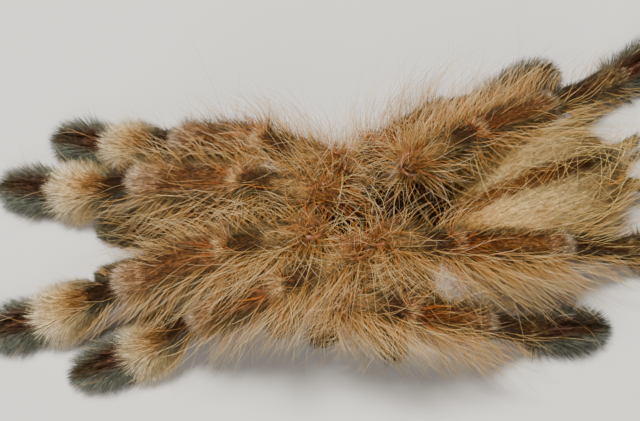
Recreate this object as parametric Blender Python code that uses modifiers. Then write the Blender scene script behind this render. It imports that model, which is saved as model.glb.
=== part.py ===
"""Life-size still model of a tree-dwelling tarantula, Poecilotheria bara, crouched with its knees drawn up.

The head points towards -X and the left side of the body towards -Y. Lengths in this file are
millimetres and angles are degrees; every finished mesh is scaled to metres by MM at the end.
"""

import math
import random
from collections import namedtuple

import bmesh
import bpy
import numpy as np
from mathutils import Matrix, Quaternion, Vector
from mathutils.bvhtree import BVHTree

MM = 0.001
GAP = 0.3

# Prosoma: the head-and-chest part
PROSOMA_CENTRE = Vector((3.4, -4.2, 0.0))
PROSOMA_HEADING = 186.0
CARAPACE_LENGTH = 21.0
CARAPACE_WIDTH = 18.0
CARAPACE_FLOOR = 6.4
CARAPACE_RISE = 3.1
CAPUT_RISE = 0.7
CARAPACE_FRONT = 10.3
STERNUM_LENGTH = 12.6
STERNUM_WIDTH = 9.4
STERNUM_FLOOR = 2.4
PEDICEL_START = (-5.9, 4.6)
PEDICEL_SINK = (2.4, -1.4)

# Eyes on their mound: distance ahead, out from the middle and up, then radius
TUBERCLE_STATION = 8.0
TUBERCLE_LIFT = 2.75
TUBERCLE_SHAPE = (1.15, 1.5, 1.0)
EYES = ((0.35, 0.5, 0.85, 0.38), (0.9, 0.9, 0.42, 0.3), (-0.35, 1.2, 0.5, 0.3), (-0.62, 0.72, 0.68, 0.24))

# Mouthparts
CHELICERA_LENGTH = 8.6
CHELICERA_HALF_WIDTH = 1.62
CHELICERA_HALF_HEIGHT = 2.1
CHELICERA_ROOT_HEIGHT = 6.6
CHELICERA_TIP_HEIGHT = 5.2
FANG_RADIUS = 0.62
FANG_ROUTE = ((18.6, 4.6, 1.0), (18.8, 2.9, 0.95), (17.6, 1.75, 0.75), (15.8, 1.35, 0.5), (14.2, 1.5, 0.16))

# Opisthosoma: the abdomen, its waist and the spinnerets
ABDOMEN_HEADING = 20.5
ABDOMEN_FRONT = Vector((14.6, -2.0, 7.0))
ABDOMEN_LENGTH = 24.0
ABDOMEN_WIDTH = 14.2
ABDOMEN_HEIGHT = 12.2
SPINNERET_LENGTH = 4.6
SPINNERET_RADIUS = 0.75
SPINNERET_SINK = 1.6
SPINNERET_SPREAD = 1.5
SPINNERET_DROP = 1.8

# Feet: height of the axis of a tarsus that lies flat on the ground
FOOT_AXIS = 1.7
PALP_WRIST_LIFT = 0.2

# Where the coxae leave the sternum (degrees round from straight ahead) and where they end
# (millimetres ahead of the middle of the prosoma, and out from its axis)
COXA_START_ANGLE = {"palp": 20.0, 1: 55.0, 2: 83.0, 3: 112.0, 4: 144.0}
COXA_END = {"palp": (11.2, 5.4), 1: (8.7, 8.4), 2: (4.0, 10.2), 3: (-4.2, 12.8), 4: (-10.2, 10.0)}
COXA_START_RADIUS = 1.15
COXA_START_HEIGHT = 4.1
HIP_HEIGHT = 5.2

Lengths = namedtuple("Lengths", "femur patella tibia metatarsus tarsus")
LEG_LENGTHS = {
    1: Lengths(18.0, 10.6, 15.0, 13.0, 8.5),
    2: Lengths(16.5, 9.8, 13.0, 12.2, 8.5),
    3: Lengths(14.0, 8.4, 11.2, 11.5, 8.0),
    4: Lengths(17.0, 9.0, 14.8, 15.5, 8.5),
}
LEG_THICKNESS = {1: 1.0, 2: 0.96, 3: 0.9, 4: 0.94}

# Pose of each leg: (yaw, pitch) of femur, patella and tibia, then yaw of metatarsus and tarsus.
# The metatarsus slopes down to the foot and the tarsus lies flat.
Pose = namedtuple("Pose", "femur patella tibia metatarsus tarsus")
LEG_POSES = {
    "r1": Pose((316, 61), (164, -14), (167, -34), 170, 175),
    "r2": Pose((307, 71), (156, -14), (162, -39), 165, 170),
    "r3": Pose((251, 42), (57, -8), (39, -24), 33, 29),
    "r4": Pose((257, 70), (32, -9), (36, -38), 36, 32),
    "l1": Pose((62, 69), (187, -18), (185, -36), 191, 195),
    "l2": Pose((53, 68), (205, -6), (184, -43), 194, 200),
    "l3": Pose((165, 62), (350, -4), (5, -37), 10, 5),
    "l4": Pose((144, 59), (359, -12), (9, -26), 13, 6),
}
PALP_LENGTHS = Lengths(9.8, 6.4, 8.4, 0.0, 8.6)
PALP_POSES = {
    "r": Pose((242, 74), (170, -24), (171, -57), 0, 177),
    "l": Pose((132, 69), (170, -24), (171, -57), 0, 180),
}

# Half-thickness at the near end, middle and far end, then stretch of the width and the height
Girth = namedtuple("Girth", "near middle far wide tall")
LEG_GIRTH = {
    "coxa": Girth(COXA_START_RADIUS, 1.6, 1.8, 1.0, 1.0),
    "femur": Girth(1.7, 1.8, 1.62, 0.95, 1.0),
    "patella": Girth(1.62, 1.75, 1.8, 1.0, 1.0),
    "tibia": Girth(1.8, 2.0, 2.0, 1.05, 1.0),
    "metatarsus": Girth(1.9, 2.2, 2.5, 1.15, 0.95),
    "tarsus": Girth(2.3, 2.45, 2.1, 1.15, 0.88),
}
PALP_GIRTH = {
    "coxa": Girth(1.1, 1.3, 1.4, 1.0, 1.0),
    "femur": Girth(1.4, 1.5, 1.5, 1.0, 1.0),
    "patella": Girth(1.5, 1.6, 1.6, 1.0, 1.0),
    "tibia": Girth(1.6, 1.8, 1.9, 1.0, 1.0),
    "tarsus": Girth(1.85, 2.0, 1.8, 1.0, 1.04),
}

SEGMENT_SIDES = 10
DOME_RINGS = 2

# Coat: flat tapered locks that stand for clumps of long hairs. Rows run along a segment from one
# part of its length to another; each row's locks fan out round it from one side over the top.
LOCK_SEED = 7
LOCK_SINK = 0.8
LOCK_THICKNESS = 0.62
LOCK_BEND = 0.45
LOCK_REACH = 0.6
LOCK_CLEARANCE = 0.34
LOCK_SAMPLES = 9
GROUND_CLEARANCE = 0.3
Coat = namedtuple("Coat", "rows begin finish around fan length lift width")
LEG_COAT = {
    "femur": Coat(1, 0.78, 0.78, 2, 60.0, 4.0, 32.0, 1.9),
    "patella": Coat(2, 0.22, 0.7, 3, 80.0, 5.4, 32.0, 2.2),
    "tibia": Coat(3, 0.12, 0.8, 4, 105.0, 5.8, 26.0, 2.3),
    "metatarsus": Coat(3, 0.14, 0.86, 4, 105.0, 5.0, 24.0, 2.4),
    "tarsus": Coat(2, 0.2, 0.72, 4, 95.0, 3.9, 20.0, 2.2),
}
PALP_COAT = {
    "femur": None,
    "tibia": Coat(2, 0.28, 0.75, 3, 85.0, 4.4, 26.0, 2.0),
    "tarsus": Coat(2, 0.2, 0.7, 3, 85.0, 3.5, 20.0, 2.0),
}
ABDOMEN_COAT = Coat(5, 0.14, 0.92, 8, 112.0, 6.2, 24.0, 3.3)

COLOURS = {
    "carapace": (0.20, 0.10, 0.06),
    "sternum": (0.07, 0.05, 0.04),
    "femur": (0.16, 0.10, 0.06),
    "patella": (0.20, 0.13, 0.08),
    "tibia": (0.24, 0.16, 0.10),
    "metatarsus": (0.42, 0.33, 0.22),
    "tarsus": (0.22, 0.22, 0.17),
    "abdomen": (0.45, 0.32, 0.16),
    "chelicera": (0.15, 0.11, 0.08),
    "fang": (0.03, 0.02, 0.02),
    "eyes": (0.02, 0.02, 0.02),
}


def remove_scene_objects():
    """Empty the scene that the file starts with."""
    for obj in list(bpy.data.objects):
        bpy.data.objects.remove(obj, do_unlink=True)


def new_collection(name):
    """Make a collection under the scene's own."""
    collection = bpy.data.collections.new(name)
    bpy.context.scene.collection.children.link(collection)
    return collection


def direction(yaw, pitch=0.0):
    """Unit vector at a yaw round +Z from +X and a pitch above the ground, in degrees."""
    yaw, pitch = math.radians(yaw), math.radians(pitch)
    return Vector((math.cos(pitch) * math.cos(yaw), math.cos(pitch) * math.sin(yaw), math.sin(pitch)))


def axis_frame(start, axis):
    """Frame at a point: +Z along the axis, +X level and across it, +Y its upper side."""
    across = Vector((0, 0, 1)).cross(axis).normalized()
    upper = axis.cross(across)
    frame = Matrix((across, upper, axis)).transposed().to_4x4()
    frame.translation = start
    return frame


def body_point(ahead, out, height):
    """Point of the prosoma from its distance ahead of the middle and out to the right."""
    forward = direction(PROSOMA_HEADING)
    rightward = Vector((forward.y, -forward.x, 0.0))
    point = PROSOMA_CENTRE + forward * ahead + rightward * out
    return Vector((point.x, point.y, height))


def body_frame(ahead, height):
    """Frame on the prosoma's axis: +X ahead, +Y to the left, +Z up."""
    frame = Matrix.Rotation(math.radians(PROSOMA_HEADING), 4, "Z")
    frame.translation = body_point(ahead, 0.0, height)
    return frame


def link(name, mesh, collection):
    """Put a mesh in the scene as an object."""
    obj = bpy.data.objects.new(name, mesh)
    collection.objects.link(obj)
    return obj


def bake_modifiers(obj):
    """Replace an object's mesh by what its modifiers make of it."""
    bpy.context.view_layer.update()
    graph = bpy.context.evaluated_depsgraph_get()
    mesh = bpy.data.meshes.new_from_object(obj.evaluated_get(graph))
    obj.modifiers.clear()
    obj.data = mesh
    return obj


def mesh_object(name, bm, collection):
    """Turn a bmesh into an object and free it."""
    mesh = bpy.data.meshes.new(name)
    bm.to_mesh(mesh)
    bm.free()
    return link(name, mesh, collection)


def turned(name, profile, sides, collection):
    """Solid of revolution about +Z from (radius, height) points that run from top to bottom."""
    mesh = bpy.data.meshes.new(name)
    edges = [(i, i + 1) for i in range(len(profile) - 1)]
    mesh.from_pydata([(radius, 0.0, height) for radius, height in profile], edges, [])
    obj = link(name, mesh, collection)
    screw = obj.modifiers.new("Turn", "SCREW")
    screw.steps = sides
    screw.render_steps = sides
    screw.use_merge_vertices = True
    screw.merge_threshold = 0.0001
    screw.use_smooth_shade = True
    return bake_modifiers(obj)


def capsule_profile(length, girth, scale):
    """Profile of a limb segment with a dome centred on the joint at each end."""
    near, middle, far = girth.near * scale, girth.middle * scale, girth.far * scale
    steps = [i / DOME_RINGS * math.pi / 2 for i in range(DOME_RINGS + 1)]
    top = [(far * math.sin(angle), length + far * math.cos(angle)) for angle in steps]
    waist = [(middle, length * 0.5)]
    bottom = [(near * math.cos(angle), -near * math.sin(angle)) for angle in steps]
    top[0] = (0.0, top[0][1])
    bottom[-1] = (0.0, bottom[-1][1])
    return top + waist + bottom


def limb_segment(name, start, end, girth, scale, collection):
    """Domed, slightly flattened segment from joint to joint."""
    axis = end - start
    obj = turned(name, capsule_profile(axis.length, girth, scale), SEGMENT_SIDES, collection)
    obj.data.transform(Matrix.Diagonal((girth.wide, girth.tall, 1.0, 1.0)))
    obj.data.transform(axis_frame(start, axis.normalized()))
    return obj


def split_into_triangles(obj):
    """Turn every face into flat triangles."""
    bm = bmesh.new()
    bm.from_mesh(obj.data)
    bmesh.ops.triangulate(bm, faces=bm.faces[:])
    bm.to_mesh(obj.data)
    bm.free()


def boolean(obj, others, operation):
    """Join or cut an object with a list of closed meshes, which are used up."""
    tools = bpy.data.collections.new("tools")
    bpy.context.scene.collection.children.link(tools)
    for other in others:
        for home in list(other.users_collection):
            home.objects.unlink(other)
        tools.objects.link(other)
    modifier = obj.modifiers.new("Join", "BOOLEAN")
    modifier.operation = operation
    modifier.operand_type = "COLLECTION"
    modifier.collection = tools
    modifier.solver = "MANIFOLD"
    bake_modifiers(obj)
    for other in others:
        bpy.data.objects.remove(other, do_unlink=True)
    bpy.data.collections.remove(tools)
    return obj


def keep_one_side(obj, point, normal):
    """Cut an object by a plane, drop what lies on the normal's side and close the cut."""
    bm = bmesh.new()
    bm.from_mesh(obj.data)
    everything = bm.verts[:] + bm.edges[:] + bm.faces[:]
    plane = {"plane_co": point, "plane_no": normal}
    cut = bmesh.ops.bisect_plane(bm, geom=everything, dist=0.0001, clear_outer=True, **plane)
    rim = [item for item in cut["geom_cut"] if isinstance(item, bmesh.types.BMEdge)]
    if rim:
        bmesh.ops.holes_fill(bm, edges=rim, sides=0)
        bmesh.ops.recalc_face_normals(bm, faces=bm.faces[:])
    bm.to_mesh(obj.data)
    bm.free()
    return obj


def stand_on_ground(obj):
    """Flatten what would reach below the ground."""
    return keep_one_side(obj, Vector((0, 0, 0)), Vector((0, 0, -1)))


def part_at_joint(nearer, farther, joint, incoming, outgoing):
    """Trim two segments to the plane that halves their joint, half a gap off on each side."""
    normal = (incoming + outgoing).normalized()
    keep_one_side(nearer, joint - normal * GAP / 2, normal)
    keep_one_side(farther, joint + normal * GAP / 2, -normal)


def swollen_copy(obj, amount, collection):
    """Copy of a rounded solid that is larger by an amount all over."""
    copy = link(obj.name + "_clearance", obj.data.copy(), collection)
    swell = copy.modifiers.new("Swell", "DISPLACE")
    swell.strength = amount
    swell.mid_level = 0.0
    bake_modifiers(copy)
    split_into_triangles(copy)
    return copy


def cut_clear(obj, neighbour, collection):
    """Cut an object so that it faces its neighbour at the touching gap."""
    return boolean(obj, [swollen_copy(neighbour, GAP, collection)], "DIFFERENCE")


class Thicket:
    """Keeps every lock clear of the other nodes and of their locks."""

    def __init__(self):
        self.trees = {}
        self.locks = []

    def add_core(self, obj):
        """Take in a node's smooth form."""
        bm = bmesh.new()
        bm.from_mesh(obj.data)
        self.trees[obj.name] = BVHTree.FromBMesh(bm)
        bm.free()

    def has_room(self, name, points):
        """Tell whether a lock's points keep off the ground and everything that isn't its own node."""
        if min(point.z for point in points) < GROUND_CLEARANCE + LOCK_THICKNESS / 2:
            return False
        for other, tree in self.trees.items():
            if other == name:
                continue
            room = LOCK_REACH + LOCK_CLEARANCE
            if any(tree.find_nearest(point, room)[0] is not None for point in points):
                return False
        here = np.array(points)
        for other, there in self.locks:
            if other == name:
                continue
            apart = np.linalg.norm(here[:, None] - there[None], axis=2)
            if apart.min() < 2 * LOCK_REACH + LOCK_CLEARANCE:
                return False
        return True

    def claim(self, name, points):
        """Remember where a lock lies."""
        self.locks.append((name, np.array(points)))


def lock_route(root, bend, tip, t):
    """Point of a lock's bent middle line."""
    return root * (1 - t) ** 2 + bend * (2 * t * (1 - t)) + tip * t * t


def lock_fullness(t):
    """Share of a lock's width and thickness that is left at a part of its length."""
    return math.sqrt(1.0 - t) if t < 0.999 else 0.0


def lock_outline(root, bend, tip, width):
    """Points down the middle and along both edges of a lock."""
    across = (bend - root).cross(tip - root).normalized() * width / 2
    points = []
    for i in range(LOCK_SAMPLES + 1):
        t = i / LOCK_SAMPLES
        middle = lock_route(root, bend, tip, t)
        points += [middle + across * lock_fullness(t) * side for side in (-1, 0, 1)]
    return points


def lock_solid(root, bend, tip, width, collection):
    """Three-sided cone flattened and bent along its route, blunt at the root and pointed at the tip."""
    bm = bmesh.new()
    bmesh.ops.create_cone(bm, cap_ends=True, segments=3, radius1=1.0, radius2=0.0, depth=1.0)
    bmesh.ops.remove_doubles(bm, verts=bm.verts, dist=0.0001)
    everything = bm.verts[:] + bm.edges[:] + bm.faces[:]
    level = {"plane_co": (0, 0, LOCK_BEND - 0.5), "plane_no": (0, 0, 1)}
    bmesh.ops.bisect_plane(bm, geom=everything, dist=0.0001, **level)
    widest = max(vert.co.x for vert in bm.verts)
    deepest = max(vert.co.y for vert in bm.verts) - min(vert.co.y for vert in bm.verts)
    across = (bend - root).cross(tip - root).normalized()
    for vert in bm.verts:
        t = vert.co.z + 0.5
        ahead, behind = min(t + 0.05, 1.0), max(t - 0.05, 0.0)
        course = lock_route(root, bend, tip, ahead) - lock_route(root, bend, tip, behind)
        upward = across.cross(course.normalized())
        swell = lock_fullness(t) / max(1.0 - t, 0.0001)
        sideways = vert.co.x / widest * swell * width / 2
        outward = vert.co.y / deepest * swell * LOCK_THICKNESS
        vert.co = lock_route(root, bend, tip, t) + across * sideways + upward * outward
    bmesh.ops.triangulate(bm, faces=bm.faces[:])
    if bm.calc_volume(signed=True) < 0.0:
        bmesh.ops.reverse_faces(bm, faces=bm.faces[:])
    return mesh_object("lock", bm, collection)


def grow_lock(obj, thicket, target, outward, lie, coat, dice, collection):
    """Root one lock on an object's surface, or give up where there is no room for it."""
    tree = thicket.trees[obj.name]
    hit, normal = tree.ray_cast(target + outward * 20.0, -outward)[:2]
    if hit is None:
        return None
    lie = (lie - normal * lie.dot(normal)).normalized()
    lie = Quaternion(normal, dice.uniform(-0.3, 0.3)) @ lie
    for shortening in (1.0, 0.8, 0.62):
        reach = coat.length * shortening * dice.uniform(0.85, 1.12)
        width = coat.width * shortening * dice.uniform(0.9, 1.1)
        angle = math.radians(coat.lift * dice.uniform(0.8, 1.25))
        rise = normal * (reach * math.sin(angle))
        root = hit - normal * LOCK_SINK
        bend = hit + rise + lie * (reach * 0.36)
        tip = hit + rise * 0.85 + lie * (reach * math.cos(angle))
        points = lock_outline(root, bend, tip, width)
        if thicket.has_room(obj.name, points):
            thicket.claim(obj.name, points)
            return lock_solid(root, bend, tip, width, collection)
    return None


def dress(obj, thicket, start, axis, coat, dice, collection):
    """Grow a coat of locks on a segment and fuse them with it."""
    frame = axis_frame(start, axis.normalized()).to_3x3()
    locks = []
    heading = axis.normalized()
    for row in range(coat.rows):
        share = row / max(coat.rows - 1, 1)
        along = coat.begin + (coat.finish - coat.begin) * share
        for place in range(coat.around):
            side = (place + 0.5 * (row % 2)) / max(coat.around - 0.5, 1) * 2 - 1
            turn = math.radians(coat.fan * side + dice.uniform(-8, 8))
            outward = frame @ Vector((math.sin(turn), math.cos(turn), 0.0))
            target = start + axis * (along + dice.uniform(-0.03, 0.03))
            lock = grow_lock(obj, thicket, target, outward, heading, coat, dice, collection)
            if lock:
                locks.append(lock)
    if locks:
        boolean(obj, locks, "UNION")
    return len(locks)


def carapace(collection):
    """Low oval dome, widest behind its middle, with a raised head region and a flat front."""
    bm = bmesh.new()
    bmesh.ops.create_uvsphere(bm, u_segments=24, v_segments=14, radius=1.0)
    for vert in bm.verts:
        ahead, side, up = vert.co
        narrowing = 1.0 - 0.16 * max(ahead, 0.0) ** 1.5 + 0.04 * math.sin(math.pi * max(-ahead, 0.0))
        caput = CAPUT_RISE * math.exp(-((ahead - 0.55) / 0.3) ** 2 - (side / 0.4) ** 2)
        rise = CARAPACE_RISE * up + (caput if up > 0.0 else 0.0)
        vert.co = (ahead * (CARAPACE_LENGTH / 2 + 0.6), side * narrowing * CARAPACE_WIDTH / 2, rise)
    bmesh.ops.triangulate(bm, faces=bm.faces[:])
    obj = mesh_object("carapace", bm, collection)
    obj.data.transform(body_frame(0.0, CARAPACE_FLOOR))
    keep_one_side(obj, Vector((0, 0, CARAPACE_FLOOR)), Vector((0, 0, -1)))
    return keep_one_side(obj, body_point(CARAPACE_FRONT, 0, 0), direction(PROSOMA_HEADING))


def sternum(collection):
    """Oval underside of the prosoma, up to the carapace."""
    height = CARAPACE_FLOOR - GAP - STERNUM_FLOOR
    bm = bmesh.new()
    bmesh.ops.create_cone(bm, cap_ends=True, segments=20, radius1=0.88, radius2=1.0, depth=1.0)
    bmesh.ops.scale(bm, vec=(STERNUM_LENGTH / 2, STERNUM_WIDTH / 2, height), verts=bm.verts)
    obj = mesh_object("sternum", bm, collection)
    obj.data.transform(body_frame(0.0, STERNUM_FLOOR + height / 2))
    return obj


def eye_tubercle(carapace_obj, collection):
    """Small mound with its eight eyes, two large ones on top and three small ones each side."""
    bm = bmesh.new()
    bmesh.ops.create_uvsphere(bm, u_segments=12, v_segments=6, radius=1.0)
    bmesh.ops.scale(bm, vec=TUBERCLE_SHAPE, verts=bm.verts)
    mound = mesh_object("eye_tubercle", bm, collection)
    eyes = []
    for side in (-1, 1):
        for ahead, out, up, radius in EYES:
            bm = bmesh.new()
            bmesh.ops.create_uvsphere(bm, u_segments=6, v_segments=5, radius=radius)
            bmesh.ops.translate(bm, vec=(ahead, out * side, up), verts=bm.verts)
            eyes.append(mesh_object("eye", bm, collection))
    boolean(mound, eyes, "UNION")
    mound.data.transform(body_frame(TUBERCLE_STATION, CARAPACE_FLOOR + TUBERCLE_LIFT))
    return cut_clear(mound, carapace_obj, collection)


def chelicera(suffix, side, collection):
    """Stout jaw joint that hangs forward from the carapace's front."""
    out = side * (CHELICERA_HALF_WIDTH + GAP / 2)
    start = body_point(CARAPACE_FRONT - 2 * GAP, out, CHELICERA_ROOT_HEIGHT)
    end = body_point(CARAPACE_FRONT + CHELICERA_LENGTH, out, CHELICERA_TIP_HEIGHT)
    girth = Girth(0.95, 1.0, 0.78, CHELICERA_HALF_WIDTH, CHELICERA_HALF_HEIGHT)
    obj = limb_segment("chelicera_" + suffix, start, end, girth, 1.0, collection)
    keep_one_side(obj, body_point(0, side * GAP / 2, 0), body_point(0, -side, 0) - body_point(0, 0, 0))
    return keep_one_side(obj, body_point(CARAPACE_FRONT + GAP, 0, 0), -direction(PROSOMA_HEADING))


def fang(suffix, side, chelicera_obj, collection):
    """Curved, pointed fang folded back under its chelicera."""
    out = side * (CHELICERA_HALF_WIDTH + GAP / 2)
    data = bpy.data.curves.new("fang", "CURVE")
    data.dimensions = "3D"
    spline = data.splines.new("POLY")
    spline.points.add(len(FANG_ROUTE) - 1)
    for point, (ahead, height, taper) in zip(spline.points, FANG_ROUTE):
        point.co = body_point(ahead, out, height).to_4d()
        point.radius = taper
    data.bevel_depth = FANG_RADIUS
    data.bevel_resolution = 1
    data.use_fill_caps = True
    curve = bpy.data.objects.new("fang_curve", data)
    collection.objects.link(curve)
    bpy.context.view_layer.update()
    mesh = bpy.data.meshes.new_from_object(curve.evaluated_get(bpy.context.evaluated_depsgraph_get()))
    bpy.data.objects.remove(curve, do_unlink=True)
    bm = bmesh.new()
    bm.from_mesh(mesh)
    bmesh.ops.remove_doubles(bm, verts=bm.verts, dist=0.0001)
    bmesh.ops.recalc_face_normals(bm, faces=bm.faces[:])
    obj = mesh_object("fang_" + suffix, bm, collection)
    return cut_clear(obj, chelicera_obj, collection)


def abdomen(collection):
    """Egg-shaped abdomen, fullest behind its middle, a little flattened below."""
    bm = bmesh.new()
    bmesh.ops.create_uvsphere(bm, u_segments=20, v_segments=13, radius=1.0)
    for vert in bm.verts:
        back, side, up = vert.co
        fullness = 1.0 + 0.1 * back - 0.06 * back * back
        vert.co = (
            (back + 1.0) * ABDOMEN_LENGTH / 2,
            side * fullness * ABDOMEN_WIDTH / 2,
            up * fullness * ABDOMEN_HEIGHT / 2 * (0.94 if up < 0.0 else 1.0),
        )
    bmesh.ops.triangulate(bm, faces=bm.faces[:])
    obj = mesh_object("abdomen", bm, collection)
    frame = Matrix.Rotation(math.radians(ABDOMEN_HEADING), 4, "Z")
    frame.translation = ABDOMEN_FRONT
    obj.data.transform(frame)
    return obj


def pedicel(neighbours, collection):
    """Narrow waist between prosoma and abdomen."""
    start = body_point(PEDICEL_START[0], 0.0, PEDICEL_START[1])
    end = ABDOMEN_FRONT + direction(ABDOMEN_HEADING) * PEDICEL_SINK[0] + Vector((0, 0, PEDICEL_SINK[1]))
    obj = limb_segment("pedicel", start, end, Girth(1.3, 1.25, 1.3, 1.0, 1.0), 1.0, collection)
    for neighbour in neighbours:
        cut_clear(obj, neighbour, collection)
    return obj


def spinneret(suffix, side, abdomen_obj, collection):
    """Finger-like spinneret at the abdomen's rear end."""
    backward = direction(ABDOMEN_HEADING)
    leftward = Vector((-backward.y, backward.x, 0.0))
    root = ABDOMEN_FRONT + backward * (ABDOMEN_LENGTH - SPINNERET_SINK)
    root += leftward * (side * SPINNERET_SPREAD) - Vector((0, 0, SPINNERET_DROP))
    course = (backward + leftward * side * 0.28 + Vector((0, 0, -0.22))).normalized()
    tip = root + course * (SPINNERET_LENGTH + SPINNERET_SINK)
    girth = Girth(1.15, 1.0, 0.72, 1.0, 1.0)
    obj = limb_segment("spinneret_" + suffix, root, tip, girth, SPINNERET_RADIUS, collection)
    return cut_clear(obj, abdomen_obj, collection)


def coxa_points(key, side):
    """Where a coxa leaves the sternum and where it ends at the hip."""
    angle = math.radians(COXA_START_ANGLE[key])
    ahead = math.cos(angle) * (STERNUM_LENGTH / 2 - 1.0)
    out = math.sin(angle) * (STERNUM_WIDTH / 2 - 1.0)
    hip_ahead, hip_out = COXA_END[key]
    start = body_point(ahead, side * out, COXA_START_HEIGHT)
    return start, body_point(hip_ahead, side * hip_out, HIP_HEIGHT)


def leg_joints(lengths, pose, hip):
    """Joint points of a leg from its hip to the tip of its foot."""
    knee = hip + direction(*pose.femur) * lengths.femur
    patella_end = knee + direction(*pose.patella) * lengths.patella
    tibia_end = patella_end + direction(*pose.tibia) * lengths.tibia
    slope = math.degrees(math.asin((FOOT_AXIS - tibia_end.z) / lengths.metatarsus))
    metatarsus_end = tibia_end + direction(pose.metatarsus, slope) * lengths.metatarsus
    tip = metatarsus_end + direction(pose.tarsus) * lengths.tarsus
    return [hip, knee, patella_end, tibia_end, metatarsus_end, tip]


def palp_joints(lengths, pose, hip):
    """Joint points of a palp, which has no metatarsus and ends in a flat tarsus."""
    knee = hip + direction(*pose.femur) * lengths.femur
    patella_end = knee + direction(*pose.patella) * lengths.patella
    tibia_end = patella_end + direction(*pose.tibia) * lengths.tibia
    tibia_end.z = FOOT_AXIS + PALP_WRIST_LIFT
    tip = tibia_end + direction(pose.tarsus) * lengths.tarsus
    tip.z = FOOT_AXIS
    return [hip, knee, patella_end, tibia_end, tip]


def limb_base(name, key, side, knee, girths, scale, body, collection):
    """Coxa, trochanter and femur as one bent piece that starts at the sternum's side."""
    start, hip = coxa_points(key, side)
    coxa = limb_segment(name + "_coxa", start, hip, girths["coxa"], scale, collection)
    femur = limb_segment(name, hip, knee, girths["femur"], scale, collection)
    boolean(femur, [coxa], "UNION")
    for neighbour in body:
        cut_clear(femur, neighbour, collection)
    return femur


def axes_of(joints):
    """Vectors from each joint to the next."""
    return [end - start for start, end in zip(joints[:-1], joints[1:])]


def leg(name, number, side, body, collection):
    """One walking leg of five nodes."""
    scale = LEG_THICKNESS[number]
    hip = coxa_points(number, side)[1]
    joints = leg_joints(LEG_LENGTHS[number], LEG_POSES[name], hip)
    kinds = ("femur", "patella", "tibia", "metatarsus", "tarsus")
    pieces = [limb_base(f"leg_{name}_femur", number, side, joints[1], LEG_GIRTH, scale, body, collection)]
    for kind, start, end in zip(kinds[1:], joints[1:-1], joints[2:]):
        reach = end
        if kind == "tarsus":
            reach = end - (end - start).normalized() * LEG_GIRTH[kind].far * scale
        pieces.append(limb_segment(f"leg_{name}_{kind}", start, reach, LEG_GIRTH[kind], scale, collection))
    axes = [span.normalized() for span in axes_of(joints)]
    for i in range(4):
        part_at_joint(pieces[i], pieces[i + 1], joints[i + 1], axes[i], axes[i + 1])
    for piece in pieces[3:]:
        stand_on_ground(piece)
    return dict(zip(kinds, pieces)), dict(zip(kinds, zip(joints[:-1], axes_of(joints))))


def palp(suffix, side, body, collection):
    """One palp of three nodes: base and femur, patella with tibia, tarsus."""
    hip = coxa_points("palp", side)[1]
    joints = palp_joints(PALP_LENGTHS, PALP_POSES[suffix], hip)
    base = limb_base(f"palp_{suffix}_femur", "palp", side, joints[1], PALP_GIRTH, 1.0, body, collection)
    patella = limb_segment("palp_patella", joints[1], joints[2], PALP_GIRTH["patella"], 1.0, collection)
    tibia = limb_segment(f"palp_{suffix}_tibia", joints[2], joints[3], PALP_GIRTH["tibia"], 1.0, collection)
    boolean(tibia, [patella], "UNION")
    reach = joints[4] - (joints[4] - joints[3]).normalized() * PALP_GIRTH["tarsus"].far
    tarsus = limb_segment(f"palp_{suffix}_tarsus", joints[3], reach, PALP_GIRTH["tarsus"], 1.0, collection)
    axes = [span.normalized() for span in axes_of(joints)]
    part_at_joint(base, tibia, joints[1], axes[0], axes[1])
    part_at_joint(tibia, tarsus, joints[3], axes[2], axes[3])
    for piece in (tibia, tarsus):
        stand_on_ground(piece)
    spans = axes_of(joints)
    kinds = {"femur": 0, "tibia": 2, "tarsus": 3}
    places = {kind: (joints[i], spans[i]) for kind, i in kinds.items()}
    return {"femur": base, "tibia": tibia, "tarsus": tarsus}, places


def paint(obj, colour):
    """Give an object a material of its own."""
    material = bpy.data.materials.new(obj.name)
    material.use_nodes = True
    shader = material.node_tree.nodes["Principled BSDF"]
    shader.inputs["Base Color"].default_value = (*colour, 1.0)
    shader.inputs["Roughness"].default_value = 0.25 if colour == COLOURS["eyes"] else 0.75
    shader.inputs["Metallic"].default_value = 0.0
    obj.data.materials.clear()
    obj.data.materials.append(material)


def keep_largest_surface(obj):
    """Drop loose scraps and sealed hollows, and split every face into triangles."""
    bm = bmesh.new()
    bm.from_mesh(obj.data)
    bmesh.ops.remove_doubles(bm, verts=bm.verts, dist=0.0001)
    bmesh.ops.dissolve_degenerate(bm, edges=bm.edges, dist=0.0001)
    bm.faces.ensure_lookup_table()
    unseen = set(bm.faces)
    shells = []
    while unseen:
        stack = [unseen.pop()]
        shell = set(stack)
        while stack:
            for edge in stack.pop().edges:
                for face in edge.link_faces:
                    if face in unseen:
                        unseen.discard(face)
                        shell.add(face)
                        stack.append(face)
        shells.append(shell)
    largest = max(shells, key=lambda shell: sum(face.calc_area() for face in shell))
    spare = [face for shell in shells if shell is not largest for face in shell]
    bmesh.ops.delete(bm, geom=spare, context="FACES")
    bmesh.ops.triangulate(bm, faces=bm.faces[:])
    bm.to_mesh(obj.data)
    bm.free()


def finish(nodes, model):
    """Scale the nodes to metres and hang them on one empty that centres the model on its feet."""
    low = Vector((1e9, 1e9, 0.0))
    high = Vector((-1e9, -1e9, 0.0))
    for obj in nodes:
        keep_largest_surface(obj)
        for vert in obj.data.vertices:
            for axis in (0, 1):
                low[axis] = min(low[axis], vert.co[axis])
                high[axis] = max(high[axis], vert.co[axis])
        obj.data.transform(Matrix.Scale(MM, 4))
    stand = bpy.data.objects.new("footprint_centre", None)
    model.objects.link(stand)
    stand.location = -(low + high) / 2 * MM
    for obj in nodes:
        obj.parent = stand
        obj.data.shade_smooth()
        obj.data.set_sharp_from_angle(angle=math.radians(40))


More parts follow.
